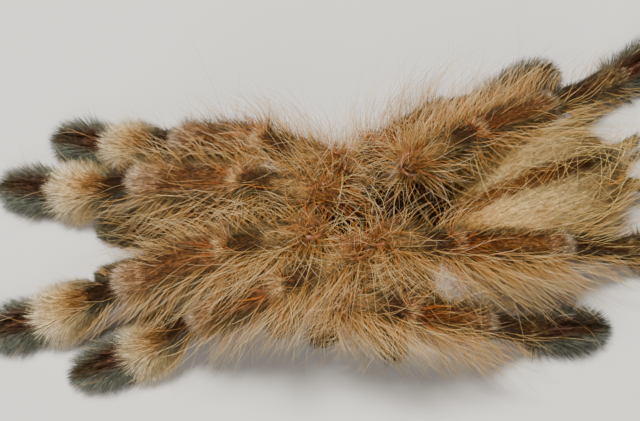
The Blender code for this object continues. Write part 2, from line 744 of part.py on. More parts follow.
def main():
    """Build the whole animal."""
    remove_scene_objects()
    model = new_collection("poecilotheria_bara")
    nodes = []
    dressing = []

    def add(obj, colour):
        """Keep a finished node with its colour."""
        paint(obj, COLOURS[colour])
        nodes.append(obj)
        return obj

    def add_limb(limb, coats):
        """Keep a limb's nodes and note where their coats grow."""
        pieces, places = limb
        for kind, obj in pieces.items():
            add(obj, kind)
            if coats[kind]:
                dressing.append((obj, *places[kind], coats[kind]))

    shield = add(carapace(model), "carapace")
    underside = add(sternum(model), "sternum")
    add(eye_tubercle(shield, model), "eyes")
    rear = add(abdomen(model), "abdomen")
    dressing.append((rear, ABDOMEN_FRONT, direction(ABDOMEN_HEADING) * ABDOMEN_LENGTH, ABDOMEN_COAT))
    add(pedicel((shield, underside, rear), model), "sternum")
    for suffix, side in (("r", 1), ("l", -1)):
        jaw = add(chelicera(suffix, side, model), "chelicera")
        add(fang(suffix, side, jaw, model), "fang")
        add(spinneret(suffix, side, rear, model), "femur")
        add_limb(palp(suffix, side, (underside, shield, jaw), model), PALP_COAT)
        for number in LEG_LENGTHS:
            add_limb(leg(f"{suffix}{number}", number, side, (underside, shield), model), LEG_COAT)
    thicket = Thicket()
    for obj in nodes:
        thicket.add_core(obj)
    dice = random.Random(LOCK_SEED)
    for obj, start, axis, coat in dressing:
        dress(obj, thicket, start, axis, coat, dice, model)
    finish(nodes, model)


main()
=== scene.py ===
"""Looks of a life-size museum model of a tree tarantula, Poecilotheria bara, with its knees drawn up.

The head points towards -X and the left side of the body towards -Y. Lengths are millimetres in the frame
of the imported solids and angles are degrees; meshes are scaled to metres by MM when they are finished.
"""

import logging
import math
from dataclasses import dataclass, field
from enum import Enum

import bpy
import numpy as np
from mathutils import Matrix, Vector


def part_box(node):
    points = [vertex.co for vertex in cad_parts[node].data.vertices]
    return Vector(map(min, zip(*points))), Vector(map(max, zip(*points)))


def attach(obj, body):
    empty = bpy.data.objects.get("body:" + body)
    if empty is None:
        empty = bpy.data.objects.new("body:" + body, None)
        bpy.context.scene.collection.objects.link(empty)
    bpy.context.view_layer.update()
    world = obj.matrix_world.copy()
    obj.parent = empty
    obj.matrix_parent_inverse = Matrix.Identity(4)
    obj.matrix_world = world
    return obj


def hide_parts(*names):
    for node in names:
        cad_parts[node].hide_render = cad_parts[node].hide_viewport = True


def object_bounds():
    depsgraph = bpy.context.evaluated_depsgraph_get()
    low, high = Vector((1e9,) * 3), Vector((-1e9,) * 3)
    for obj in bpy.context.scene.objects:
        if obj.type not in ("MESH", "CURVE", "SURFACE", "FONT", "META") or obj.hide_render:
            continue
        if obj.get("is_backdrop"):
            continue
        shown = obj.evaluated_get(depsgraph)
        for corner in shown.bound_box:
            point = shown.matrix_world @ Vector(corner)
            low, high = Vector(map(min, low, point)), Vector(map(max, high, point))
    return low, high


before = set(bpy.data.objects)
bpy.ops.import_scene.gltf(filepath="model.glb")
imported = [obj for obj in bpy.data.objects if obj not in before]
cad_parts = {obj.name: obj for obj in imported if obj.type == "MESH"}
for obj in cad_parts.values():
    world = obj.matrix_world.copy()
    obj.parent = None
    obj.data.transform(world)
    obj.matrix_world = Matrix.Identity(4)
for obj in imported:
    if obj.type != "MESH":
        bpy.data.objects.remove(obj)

MM = 0.001
log = logging.getLogger("tarantula")
UP = np.array([0.0, 0.0, 1.0])
SIDES = (("r", 1), ("l", -1))
# Nodes that are bare and hard, each replaced by a piece of its own
HARD_NODES = ("eye_tubercle", "fang_")
# Half-thickness that no ring of a part goes below
THINNEST = 0.3
# Share of each side by which hair tips may pass the solids' box
SPARE = 0.012
# What each corner of skin and coat knows: its place on its part, on its bristle, and a random number
MARKS = ("along", "around", "strand", "chance")


@dataclass(frozen=True)
class Prosoma:
    """Sizes of the head-and-chest part and its mouthparts; stations are distances ahead of its middle."""

    centre: tuple[float, float] = (3.4, -4.2)
    heading: float = 186.0
    length: float = 21.0
    width: float = 18.0
    floor: float = 6.4
    rise: float = 3.1
    under: float = 0.35
    taper: float = 0.16
    inset: float = 0.25
    caput_rise: float = 0.7
    caput_station: float = 0.55
    caput_spread: float = 0.3
    fovea_station: float = -2.2
    grooves: tuple[float, ...] = (38.0, 72.0, 105.0, 138.0)
    groove_width: float = 8.0
    mound_station: float = 8.0
    mound_lift: float = 2.75
    mound_halves: tuple[float, float, float] = (0.35, 1.35, 0.85)
    sternum_length: float = 12.6
    sternum_width: float = 9.4
    sternum_depth: float = 2.1
    sternum_floor: float = 2.4
    sternum_lift: float = 2.2
    chelicera_front: float = 10.3
    chelicera_sink: float = 1.2
    chelicera_length: float = 8.6
    chelicera_out: float = 1.77
    chelicera_heights: tuple[float, float] = (6.6, 5.2)
    chelicera_halves: tuple[tuple[float, float], ...] = ((1.35, 1.65), (1.5, 1.85), (1.2, 1.3))


@dataclass(frozen=True)
class Opisthosoma:
    """Sizes of the abdomen, the waist before it and the spinnerets behind it."""

    heading: float = 20.5
    front: tuple[float, float, float] = (14.6, -2.0, 7.0)
    length: float = 24.0
    half_width: float = 6.7
    half_height: float = 5.4
    end_gap: float = 0.6
    egg_skew: float = 0.1
    egg_taper: float = 0.06
    under: float = 0.94
    waist_root: tuple[float, float] = (0.28, 4.8)
    waist_depth: float = 2.4
    waist_drop: float = 1.4
    waist_halves: tuple[float, float, float] = (1.3, 1.1, 1.3)
    spinneret_length: float = 4.6
    spinneret_sink: float = 1.6
    spinneret_spread: float = 1.5
    spinneret_drop: float = 1.8
    spinneret_splay: float = 0.28
    spinneret_dip: float = 0.22
    spinneret_halves: tuple[float, float, float] = (0.72, 0.66, 0.5)


PROSOMA = Prosoma()
OPISTHOSOMA = Opisthosoma()

# Height of the axis of a tarsus that lies flat on the ground, and of a palp's wrist above that
FOOT_AXIS = 1.7
PALP_WRIST_LIFT = 0.2
# Coxae: height at both ends, angle from straight ahead at which each leaves the sternum, and where it ends
COXA_START_HEIGHT = 4.1
HIP_HEIGHT = 5.2
COXA_START_ANGLE = {"palp": 20.0, 1: 55.0, 2: 83.0, 3: 112.0, 4: 144.0}
COXA_END = {"palp": (11.2, 5.4), 1: (8.7, 8.4), 2: (4.0, 10.2), 3: (-4.2, 12.8), 4: (-10.2, 10.0)}

# Lengths of femur, patella, tibia, metatarsus and tarsus
LEG_LENGTHS = {
    1: (18.0, 10.6, 15.0, 13.0, 8.5),
    2: (16.5, 9.8, 13.0, 12.2, 8.5),
    3: (14.0, 8.4, 11.2, 11.5, 8.0),
    4: (17.0, 9.0, 14.8, 15.5, 8.5),
}
LEG_THICKNESS = {1: 1.0, 2: 0.96, 3: 0.9, 4: 0.94}
# Yaw and pitch of femur, patella and tibia, then yaw of metatarsus and tarsus
LEG_POSES = {
    "r1": ((316, 61), (164, -14), (167, -34), 170, 175),
    "r2": ((307, 71), (156, -14), (162, -39), 165, 170),
    "r3": ((251, 42), (57, -8), (39, -24), 33, 29),
    "r4": ((257, 70), (32, -9), (36, -38), 36, 32),
    "l1": ((62, 69), (187, -18), (185, -36), 191, 195),
    "l2": ((53, 68), (205, -6), (184, -43), 194, 200),
    "l3": ((165, 62), (350, -4), (5, -37), 10, 5),
    "l4": ((144, 59), (359, -12), (9, -26), 13, 6),
}
PALP_LENGTHS = (9.8, 6.4, 8.4, 8.6)
PALP_POSES = {
    "r": ((242, 74), (170, -24), (171, -57), 177),
    "l": ((132, 69), (170, -24), (171, -57), 180),
}


class Kind(Enum):
    """Parts of the body that differ in markings."""

    COXA = "coxa"
    FEMUR = "femur"
    PATELLA = "patella"
    TIBIA = "tibia"
    METATARSUS = "metatarsus"
    TARSUS = "tarsus"
    HIND_TIBIA = "hind_tibia"
    HIND_METATARSUS = "hind_metatarsus"
    PALP = "palp"
    PALP_TARSUS = "palp_tarsus"
    CARAPACE = "carapace"
    TUBERCLE = "tubercle"
    STERNUM = "sternum"
    PEDICEL = "pedicel"
    ABDOMEN = "abdomen"
    CHELICERA = "chelicera"
    SPINNERET = "spinneret"
    MEMBRANE = "membrane"


class Lie(Enum):
    """Ways in which a coat lies on its part."""

    ALONG = "along"
    OUTWARD = "outward"


class Hue(Enum):
    """Colourings of the long setae."""

    LEG = "leg"
    JOINT = "joint"
    BODY = "body"


def linear(code: str) -> tuple[float, float, float, float]:
    """Turn an sRGB hex colour to linear light.

    Args:
        code: Colour such as "#8a5c30".

    Returns:
        Red, green, blue and an opacity of one.
    """
    shares = [int(code[i : i + 2], 16) / 255.0 for i in (1, 3, 5)]
    light = [c / 12.92 if c <= 0.04045 else ((c + 0.055) / 1.055) ** 2.4 for c in shares]
    return (*light, 1.0)


def direction(yaw: float, pitch: float = 0.0) -> np.ndarray:
    """Unit vector at a yaw round +Z from +X and a pitch above the ground, in degrees."""
    yaw, pitch = math.radians(yaw), math.radians(pitch)
    return np.array([math.cos(pitch) * math.cos(yaw), math.cos(pitch) * math.sin(yaw), math.sin(pitch)])


def unit(rows: np.ndarray) -> np.ndarray:
    """Scale each row to length one."""
    return rows / np.maximum(np.linalg.norm(rows, axis=-1, keepdims=True), 1e-9)


def groove_share(ahead: np.ndarray, across: np.ndarray) -> np.ndarray:
    """How close points of the carapace are to one of the grooves that run out from its fovea.

    Args:
        ahead: Distances ahead of the fovea.
        across: Distances sideways from it.

    Returns:
        One in a groove, falling to none between two.
    """
    angle = np.degrees(np.arctan2(np.abs(across), ahead))
    nearest = np.min([np.abs(angle - groove) for groove in PROSOMA.grooves], axis=0)
    return np.exp(-((nearest / PROSOMA.groove_width) ** 2))


@dataclass
class Tube:
    """Limb segment or body part: a round form along a straight axis, the base of both skin and coat.

    Attributes:
        name: Name of the part.
        kind: Its markings.
        ends: Both ends of its axis.
        stations: Distance along the axis, half width and half height of each ring.
        under: Share of the half height that the lower half keeps.
        domed: Whether half spheres close both ends.
        start: Near end of its axis.
        along: Direction of its axis.
        across: Direction sideways from it.
        upper: Direction from the axis to its upper side.
        length: Length of the axis.
    """

    name: str
    kind: Kind
    ends: tuple[np.ndarray, np.ndarray]
    stations: tuple[tuple[float, float, float], ...]
    under: float = 1.0
    domed: bool = True
    start: np.ndarray = field(init=False)
    along: np.ndarray = field(init=False)
    across: np.ndarray = field(init=False)
    upper: np.ndarray = field(init=False)
    length: float = field(init=False)

    def __post_init__(self) -> None:
        """Work out the part's own axes."""
        self.start, end = self.ends
        self.length = float(np.linalg.norm(end - self.start))
        self.along = (end - self.start) / self.length
        self.across = unit(np.cross(UP, self.along))
        self.upper = np.cross(self.along, self.across)

    def reach(self) -> tuple[float, float]:
        """Lowest and highest distance along the axis, with the domes."""
        (near, _, near_dome), (far, _, far_dome) = self.stations[0], self.stations[-1]
        return (near - near_dome, far + far_dome) if self.domed else (near, far)

    def halves(self, x: np.ndarray) -> tuple[np.ndarray, np.ndarray]:
        """Half width and half height at distances along the axis.

        Args:
            x: Distances from the near end.

        Returns:
            Half widths and half heights.
        """
        spots, wide, tall = (np.array(column) for column in zip(*self.stations))
        half_width, half_height = np.interp(x, spots, wide), np.interp(x, spots, tall)
        if self.domed:
            before = np.clip((spots[0] - x) / tall[0], 0.0, 1.0)
            beyond = np.clip((x - spots[-1]) / tall[-1], 0.0, 1.0)
            dome = np.sqrt(np.clip(1.0 - before**2 - beyond**2, 0.0, 1.0))
            half_width, half_height = half_width * dome, half_height * dome
        return half_width, half_height

    def point(self, x: np.ndarray, turn: np.ndarray) -> np.ndarray:
        """Points of the surface.

        Args:
            x: Distances along the axis.
            turn: Angles round it from the upper side, in radians.

        Returns:
            One row for each point.
        """
        half_width, half_height = self.halves(x)
        height = half_height * np.cos(turn) * np.where(np.cos(turn) < 0.0, self.under, 1.0)
        sideways = half_width * np.sin(turn)
        return (self.start + x[:, None] * self.along + sideways[:, None] * self.across
                + height[:, None] * self.upper)

    def marking(self, x: np.ndarray, across: np.ndarray,
                upper: np.ndarray) -> tuple[np.ndarray, np.ndarray]:
        """Where points are among the part's markings.

        Args:
            x: Distances along the axis.
            across: Distances sideways from it.
            upper: Distances above it.

        Returns:
            Shares of the way from near end to far end and from top to bottom. On the carapace they are
            shares of the way from the fovea to the edge, and from the middle of a ray to the groove
            beside it.
        """
        if self.kind is not Kind.CARAPACE:
            return np.clip(x / self.length, 0.0, 1.0), np.abs(np.arctan2(across, upper)) / math.pi
        ahead = x - self.length / 2 - PROSOMA.fovea_station
        edge = PROSOMA.length / 2 + np.sign(ahead) * -PROSOMA.fovea_station
        reach = np.hypot(ahead / edge, across / (PROSOMA.width / 2))
        return np.clip(reach, 0.0, 1.0), 1.0 - groove_share(ahead, across)

    def surface(self, x: np.ndarray, turn: np.ndarray) -> tuple[np.ndarray, np.ndarray]:
        """Points and outward normals of the surface.

        Args:
            x: Distances along the axis.
            turn: Angles round it from the upper side, in radians.

        Returns:
            Points and unit normals.
        """
        step = 0.02
        low, high = self.reach()
        x = np.clip(x, low + step, high - step)
        lengthwise = self.point(x + step, turn) - self.point(x - step, turn)
        roundwise = self.point(x, turn + step) - self.point(x, turn - step)
        normal = unit(np.cross(roundwise, lengthwise))
        outward = self.point(x, turn) - (self.start + x[:, None] * self.along)
        flip = np.sign(np.sum(normal * outward, axis=1, keepdims=True))
        return self.point(x, turn), normal * np.where(flip == 0.0, 1.0, flip)


def limb_stations(length: float, halves: tuple[float, float, float], wide: float = 1.0) -> tuple:
    """Rings of a limb segment from its half-thickness at the near end, middle and far end."""
    return tuple((length * s, half * wide, half) for s, half in zip((0.0, 0.5, 1.0), halves))


@dataclass
class Anatomy:
    """Where every part of the animal is, from its named sizes and pose.

    Attributes:
        shift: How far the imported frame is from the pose's own zero.
        tubes: All parts.
        knees: For each knee its place, the directions into and out of it, and the limb's thickness.
    """

    shift: np.ndarray = field(init=False)
    tubes: list[Tube] = field(default_factory=list)
    knees: list[tuple[np.ndarray, np.ndarray, np.ndarray, float]] = field(default_factory=list)

    SKIN_HALVES = {
        Kind.COXA: (1.0, 1.35, 1.5),
        Kind.FEMUR: (1.45, 1.55, 1.4),
        Kind.PATELLA: (1.35, 1.4, 1.4),
        Kind.TIBIA: (1.35, 1.55, 1.5),
        Kind.METATARSUS: (1.25, 1.3, 1.5),
        Kind.TARSUS: (1.35, 1.4, 1.0),
    }
    PALP_HALVES = {"coxa": (1.0, 1.15, 1.2), "femur": (1.2, 1.25, 1.2), "patella": (1.2, 1.25, 1.2),
                   "tibia": (1.2, 1.35, 1.3), "tarsus": (1.2, 1.25, 0.95)}
    HIND_KINDS = {Kind.TIBIA: Kind.HIND_TIBIA, Kind.METATARSUS: Kind.HIND_METATARSUS}
    # Lengths of the domed tips, how much wider than high a tarsus is, and a palp's thickness
    TIP = 1.2
    PALP_TIP = 1.6
    PAD_WIDTH = 1.25
    PALP_SCALE = 0.8
    # Radii of the soft skin at knees and at the joints beyond them, and how long its bulges are
    KNEE_BULB = 0.78
    SHIN_BULB = 0.62
    BULB_LENGTH = 0.4

    def __post_init__(self) -> None:
        """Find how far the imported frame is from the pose's own zero, then lay out all parts."""
        low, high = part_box("sternum")
        centre = np.array((low + high) / 2) / MM
        self.shift = np.array([centre[0] - PROSOMA.centre[0], centre[1] - PROSOMA.centre[1], 0.0])
        self.lay_out_prosoma()
        self.lay_out_opisthosoma()
        for side_name, side in SIDES:
            self.lay_out_palp(side_name, side)
            for number in LEG_LENGTHS:
                self.lay_out_leg(side_name, number, side)

    def body_point(self, ahead: float, out: float, height: float) -> np.ndarray:
        """Point of the prosoma.

        Args:
            ahead: Distance ahead of its middle.
            out: Distance out to the right.
            height: Height above the ground.

        Returns:
            The point.
        """
        forward = direction(PROSOMA.heading)
        rightward = np.array([forward[1], -forward[0], 0.0])
        centre = self.shift + np.array([*PROSOMA.centre, height])
        return centre + forward * ahead + rightward * out

    def lay_out_prosoma(self) -> None:
        """Carapace, eye mound, sternum and chelicerae."""
        sizes = PROSOMA
        half = sizes.length / 2
        shield = []
        for s in np.linspace(-1.0, 1.0, 17):
            oval = math.sqrt(max(1.0 - s * s, 0.0))
            width = oval * sizes.width / 2 * (1.0 - sizes.taper * max(s, 0.0) ** 1.5) - sizes.inset
            caput = sizes.caput_rise * math.exp(-(((s - sizes.caput_station) / sizes.caput_spread) ** 2))
            rise = oval * sizes.rise + caput * oval - sizes.inset
            shield.append((half + s * half, max(width, THINNEST), max(rise, THINNEST)))
        ends = tuple(self.body_point(ahead, 0, sizes.floor) for ahead in (-half, half))
        self.tubes.append(Tube("carapace", Kind.CARAPACE, ends, tuple(shield), sizes.under, False))
        half, wide, tall = sizes.mound_halves
        ends = tuple(self.body_point(sizes.mound_station + ahead, 0, sizes.floor + sizes.mound_lift)
                     for ahead in (-half, half))
        stations = ((0.0, wide, tall), (2 * half, wide, tall))
        self.tubes.append(Tube("tubercle", Kind.TUBERCLE, ends, stations))
        half = sizes.sternum_length / 2
        plate = []
        for s in np.linspace(-1.0, 1.0, 11):
            oval = math.sqrt(max(1.0 - s * s, 0.0))
            depth = sizes.sternum_depth * oval**0.5
            width = oval * sizes.sternum_width / 2
            plate.append((half + s * half, max(width, THINNEST), max(depth, THINNEST)))
        ends = tuple(self.body_point(ahead, 0, sizes.sternum_floor + sizes.sternum_lift)
                     for ahead in (-half, half))
        self.tubes.append(Tube("sternum", Kind.STERNUM, ends, tuple(plate), domed=False))
        stretch = (sizes.chelicera_front - sizes.chelicera_sink,
                   sizes.chelicera_front + sizes.chelicera_length)
        for side_name, side in SIDES:
            ends = tuple(self.body_point(ahead, side * sizes.chelicera_out, height)
                         for ahead, height in zip(stretch, sizes.chelicera_heights))
            length = float(np.linalg.norm(ends[1] - ends[0]))
            stations = tuple((length * s, wide, tall)
                             for s, (wide, tall) in zip((0.0, 0.5, 1.0), sizes.chelicera_halves))
            self.tubes.append(Tube(f"chelicera_{side_name}", Kind.CHELICERA, ends, stations))

    def lay_out_opisthosoma(self) -> None:
        """Abdomen, waist and spinnerets."""
        sizes = OPISTHOSOMA
        front = self.shift + np.array(sizes.front)
        backward = direction(sizes.heading)
        leftward = np.array([-backward[1], backward[0], 0.0])
        egg = []
        for s in np.linspace(-1.0, 1.0, 17):
            oval = math.sqrt(max(1.0 - s * s, 0.0))
            oval *= 1.0 + sizes.egg_skew * s - sizes.egg_taper * s * s
            egg.append((sizes.end_gap + (s + 1.0) / 2 * (sizes.length - 2 * sizes.end_gap),
                        max(oval * sizes.half_width, THINNEST), max(oval * sizes.half_height, THINNEST)))
        ends = (front, front + backward * sizes.length)
        self.tubes.append(Tube("abdomen", Kind.ABDOMEN, ends, tuple(egg), sizes.under, False))
        waist = front + backward * sizes.waist_depth + np.array([0.0, 0.0, -sizes.waist_drop])
        root = self.body_point(-PROSOMA.length * sizes.waist_root[0], 0, sizes.waist_root[1])
        length = float(np.linalg.norm(waist - root))
        stations = limb_stations(length, sizes.waist_halves)
        self.tubes.append(Tube("pedicel", Kind.PEDICEL, (root, waist), stations))
        for side_name, side in SIDES:
            root = (front + backward * (sizes.length - sizes.spinneret_sink)
                    + leftward * side * sizes.spinneret_spread)
            root = root - np.array([0.0, 0.0, sizes.spinneret_drop])
            course = unit(backward + leftward * side * sizes.spinneret_splay
                          + np.array([0.0, 0.0, -sizes.spinneret_dip]))
            length = sizes.spinneret_length + sizes.spinneret_sink - THINNEST
            ends = (root, root + course * length)
            stations = limb_stations(length, sizes.spinneret_halves)
            self.tubes.append(Tube(f"spinneret_{side_name}", Kind.SPINNERET, ends, stations))

    def hip(self, key: int | str, side: int) -> tuple[np.ndarray, np.ndarray]:
        """Both ends of a coxa.

        Args:
            key: Number of the leg, or "palp".
            side: One on the right, minus one on the left.

        Returns:
            Where it leaves the sternum and where it ends.
        """
        angle = math.radians(COXA_START_ANGLE[key])
        ahead = math.cos(angle) * (PROSOMA.sternum_length / 2 - 1.0)
        out = math.sin(angle) * (PROSOMA.sternum_width / 2 - 1.0)
        start = self.body_point(ahead, side * out, COXA_START_HEIGHT)
        return start, self.body_point(COXA_END[key][0], side * COXA_END[key][1], HIP_HEIGHT)

    @staticmethod
    def step_out(hip: np.ndarray, poses: tuple, lengths: tuple) -> list[np.ndarray]:
        """Ends of femur, patella and tibia.

        Args:
            hip: Near end of the femur.
            poses: Yaw and pitch of each.
            lengths: Length of each.

        Returns:
            Their far ends.
        """
        joints = [hip]
        for (yaw, pitch), length in zip(poses, lengths):
            joints.append(joints[-1] + direction(yaw, pitch) * length)
        return joints[1:]

    def lay_out_leg(self, side_name: str, number: int, side: int) -> None:
        """Coxa to tarsus of one walking leg.

        Args:
            side_name: "r" or "l".
            number: Number of the leg from the front.
            side: One on the right, minus one on the left.
        """
        name = f"leg_{side_name}{number}"
        scale = LEG_THICKNESS[number]
        start, hip = self.hip(number, side)
        lengths = LEG_LENGTHS[number]
        pose = LEG_POSES[f"{side_name}{number}"]
        knee, patella_end, tibia_end = self.step_out(hip, pose[:3], lengths[:3])
        slope = math.degrees(math.asin((FOOT_AXIS - tibia_end[2]) / lengths[3]))
        metatarsus_end = tibia_end + direction(pose[3], slope) * lengths[3]
        tip = metatarsus_end + direction(pose[4]) * (lengths[4] - self.TIP)
        joints = (start, hip, knee, patella_end, tibia_end, metatarsus_end, tip)
        for kind, near, far in zip(self.SKIN_HALVES, joints[:-1], joints[1:]):
            halves = tuple(half * scale for half in self.SKIN_HALVES[kind])
            stations = limb_stations(float(np.linalg.norm(far - near)), halves,
                                     self.PAD_WIDTH if kind is Kind.TARSUS else 1.0)
            marked = self.HIND_KINDS.get(kind, kind) if number > 2 else kind
            self.tubes.append(Tube(f"{name}_{kind.value}", marked, (near, far), stations))
        self.add_knee(name, joints[1:4], scale)
        self.add_joint(name + "_shin", joints[2:5], self.SHIN_BULB * scale)

    def lay_out_palp(self, side_name: str, side: int) -> None:
        """Coxa to tarsus of one palp.

        Args:
            side_name: "r" or "l".
            side: One on the right, minus one on the left.
        """
        name = f"palp_{side_name}"
        start, hip = self.hip("palp", side)
        pose = PALP_POSES[side_name]
        knee, patella_end, tibia_end = self.step_out(hip, pose[:3], PALP_LENGTHS[:3])
        tibia_end[2] = FOOT_AXIS + PALP_WRIST_LIFT
        tip = tibia_end + direction(pose[3]) * (PALP_LENGTHS[3] - self.PALP_TIP)
        tip[2] = FOOT_AXIS
        joints = (start, hip, knee, patella_end, tibia_end, tip)
        for part, near, far in zip(self.PALP_HALVES, joints[:-1], joints[1:]):
            kind = {"coxa": Kind.COXA, "tarsus": Kind.PALP_TARSUS}.get(part, Kind.PALP)
            stations = limb_stations(float(np.linalg.norm(far - near)), self.PALP_HALVES[part])
            self.tubes.append(Tube(f"{name}_{part}", kind, (near, far), stations))
        self.add_knee(name, joints[1:4], self.PALP_SCALE)

    def add_knee(self, name: str, joints: tuple, scale: float) -> None:
        """Soft skin on top of a knee, and where its rim goes.

        Args:
            name: Name of the limb.
            joints: The joint before the knee, the knee and the joint after it.
            scale: Thickness of the limb.
        """
        before, joint, after = joints
        self.add_joint(name, joints, self.KNEE_BULB * scale)
        self.knees.append((joint, unit(joint - before), unit(after - joint), scale))

    def add_joint(self, name: str, joints: tuple, radius: float) -> None:
        """Soft skin that bulges from the outer side of a bend.

        Args:
            name: Name of the limb.
            joints: The joint before the bend, the bend and the joint after it.
            radius: Radius of the bulge.
        """
        before, joint, after = joints
        incoming, outgoing = unit(joint - before), unit(after - joint)
        bulge = 0.35 * radius if incoming @ outgoing < 0.5 else 1.25 - 0.6 * radius
        crest = unit(incoming - outgoing) if incoming @ outgoing < 0.98 else UP
        centre = joint + crest * bulge
        stations = ((0.0, radius, radius), (self.BULB_LENGTH, radius, radius))
        ends = (centre, centre + outgoing * self.BULB_LENGTH)
        self.tubes.append(Tube(name + "_membrane", Kind.MEMBRANE, ends, stations))


def new_material(name: str) -> tuple[bpy.types.Material, bpy.types.NodeTree, bpy.types.Node]:
    """Start a material.

    Args:
        name: Its name.

    Returns:
        The material, its node tree and its shader.
    """
    material = bpy.data.materials.new(name)
    material.use_nodes = True
    return material, material.node_tree, material.node_tree.nodes["Principled BSDF"]


def add_node(tree: bpy.types.NodeTree, kind: str, links: dict | None = None,
             **settings: object) -> bpy.types.Node:
    """Add a shader node.

    Args:
        tree: Material's node tree.
        kind: Blender's name for the node type.
        links: Input name or number to either an output socket to link or a value to set.
        settings: Properties of the node.

    Returns:
        The new node.
    """
    node = tree.nodes.new(kind)
    for name, value in settings.items():
        setattr(node, name, value)
    for socket, value in (links or {}).items():
        if isinstance(value, bpy.types.NodeSocket):
            tree.links.new(value, node.inputs[socket])
        else:
            node.inputs[socket].default_value = value
    return node


def fill_ramp(node: bpy.types.Node, stops: tuple) -> bpy.types.NodeSocket:
    """Give a colour ramp its stops.

    Args:
        node: The ramp.
        stops: Each a place and either a hex colour or a grey; two bare colours run from end to end.

    Returns:
        The ramp's colour output.
    """
    if not isinstance(stops[0], tuple):
        stops = ((0.0, stops[0]), (1.0, stops[1]))
    elements = node.color_ramp.elements
    while len(elements) < len(stops):
        elements.new(1.0)
    for element, (place, shade) in zip(elements, stops):
        element.position = place
        element.color = linear(shade) if isinstance(shade, str) else (shade, shade, shade, 1.0)
    return node.outputs["Color"]


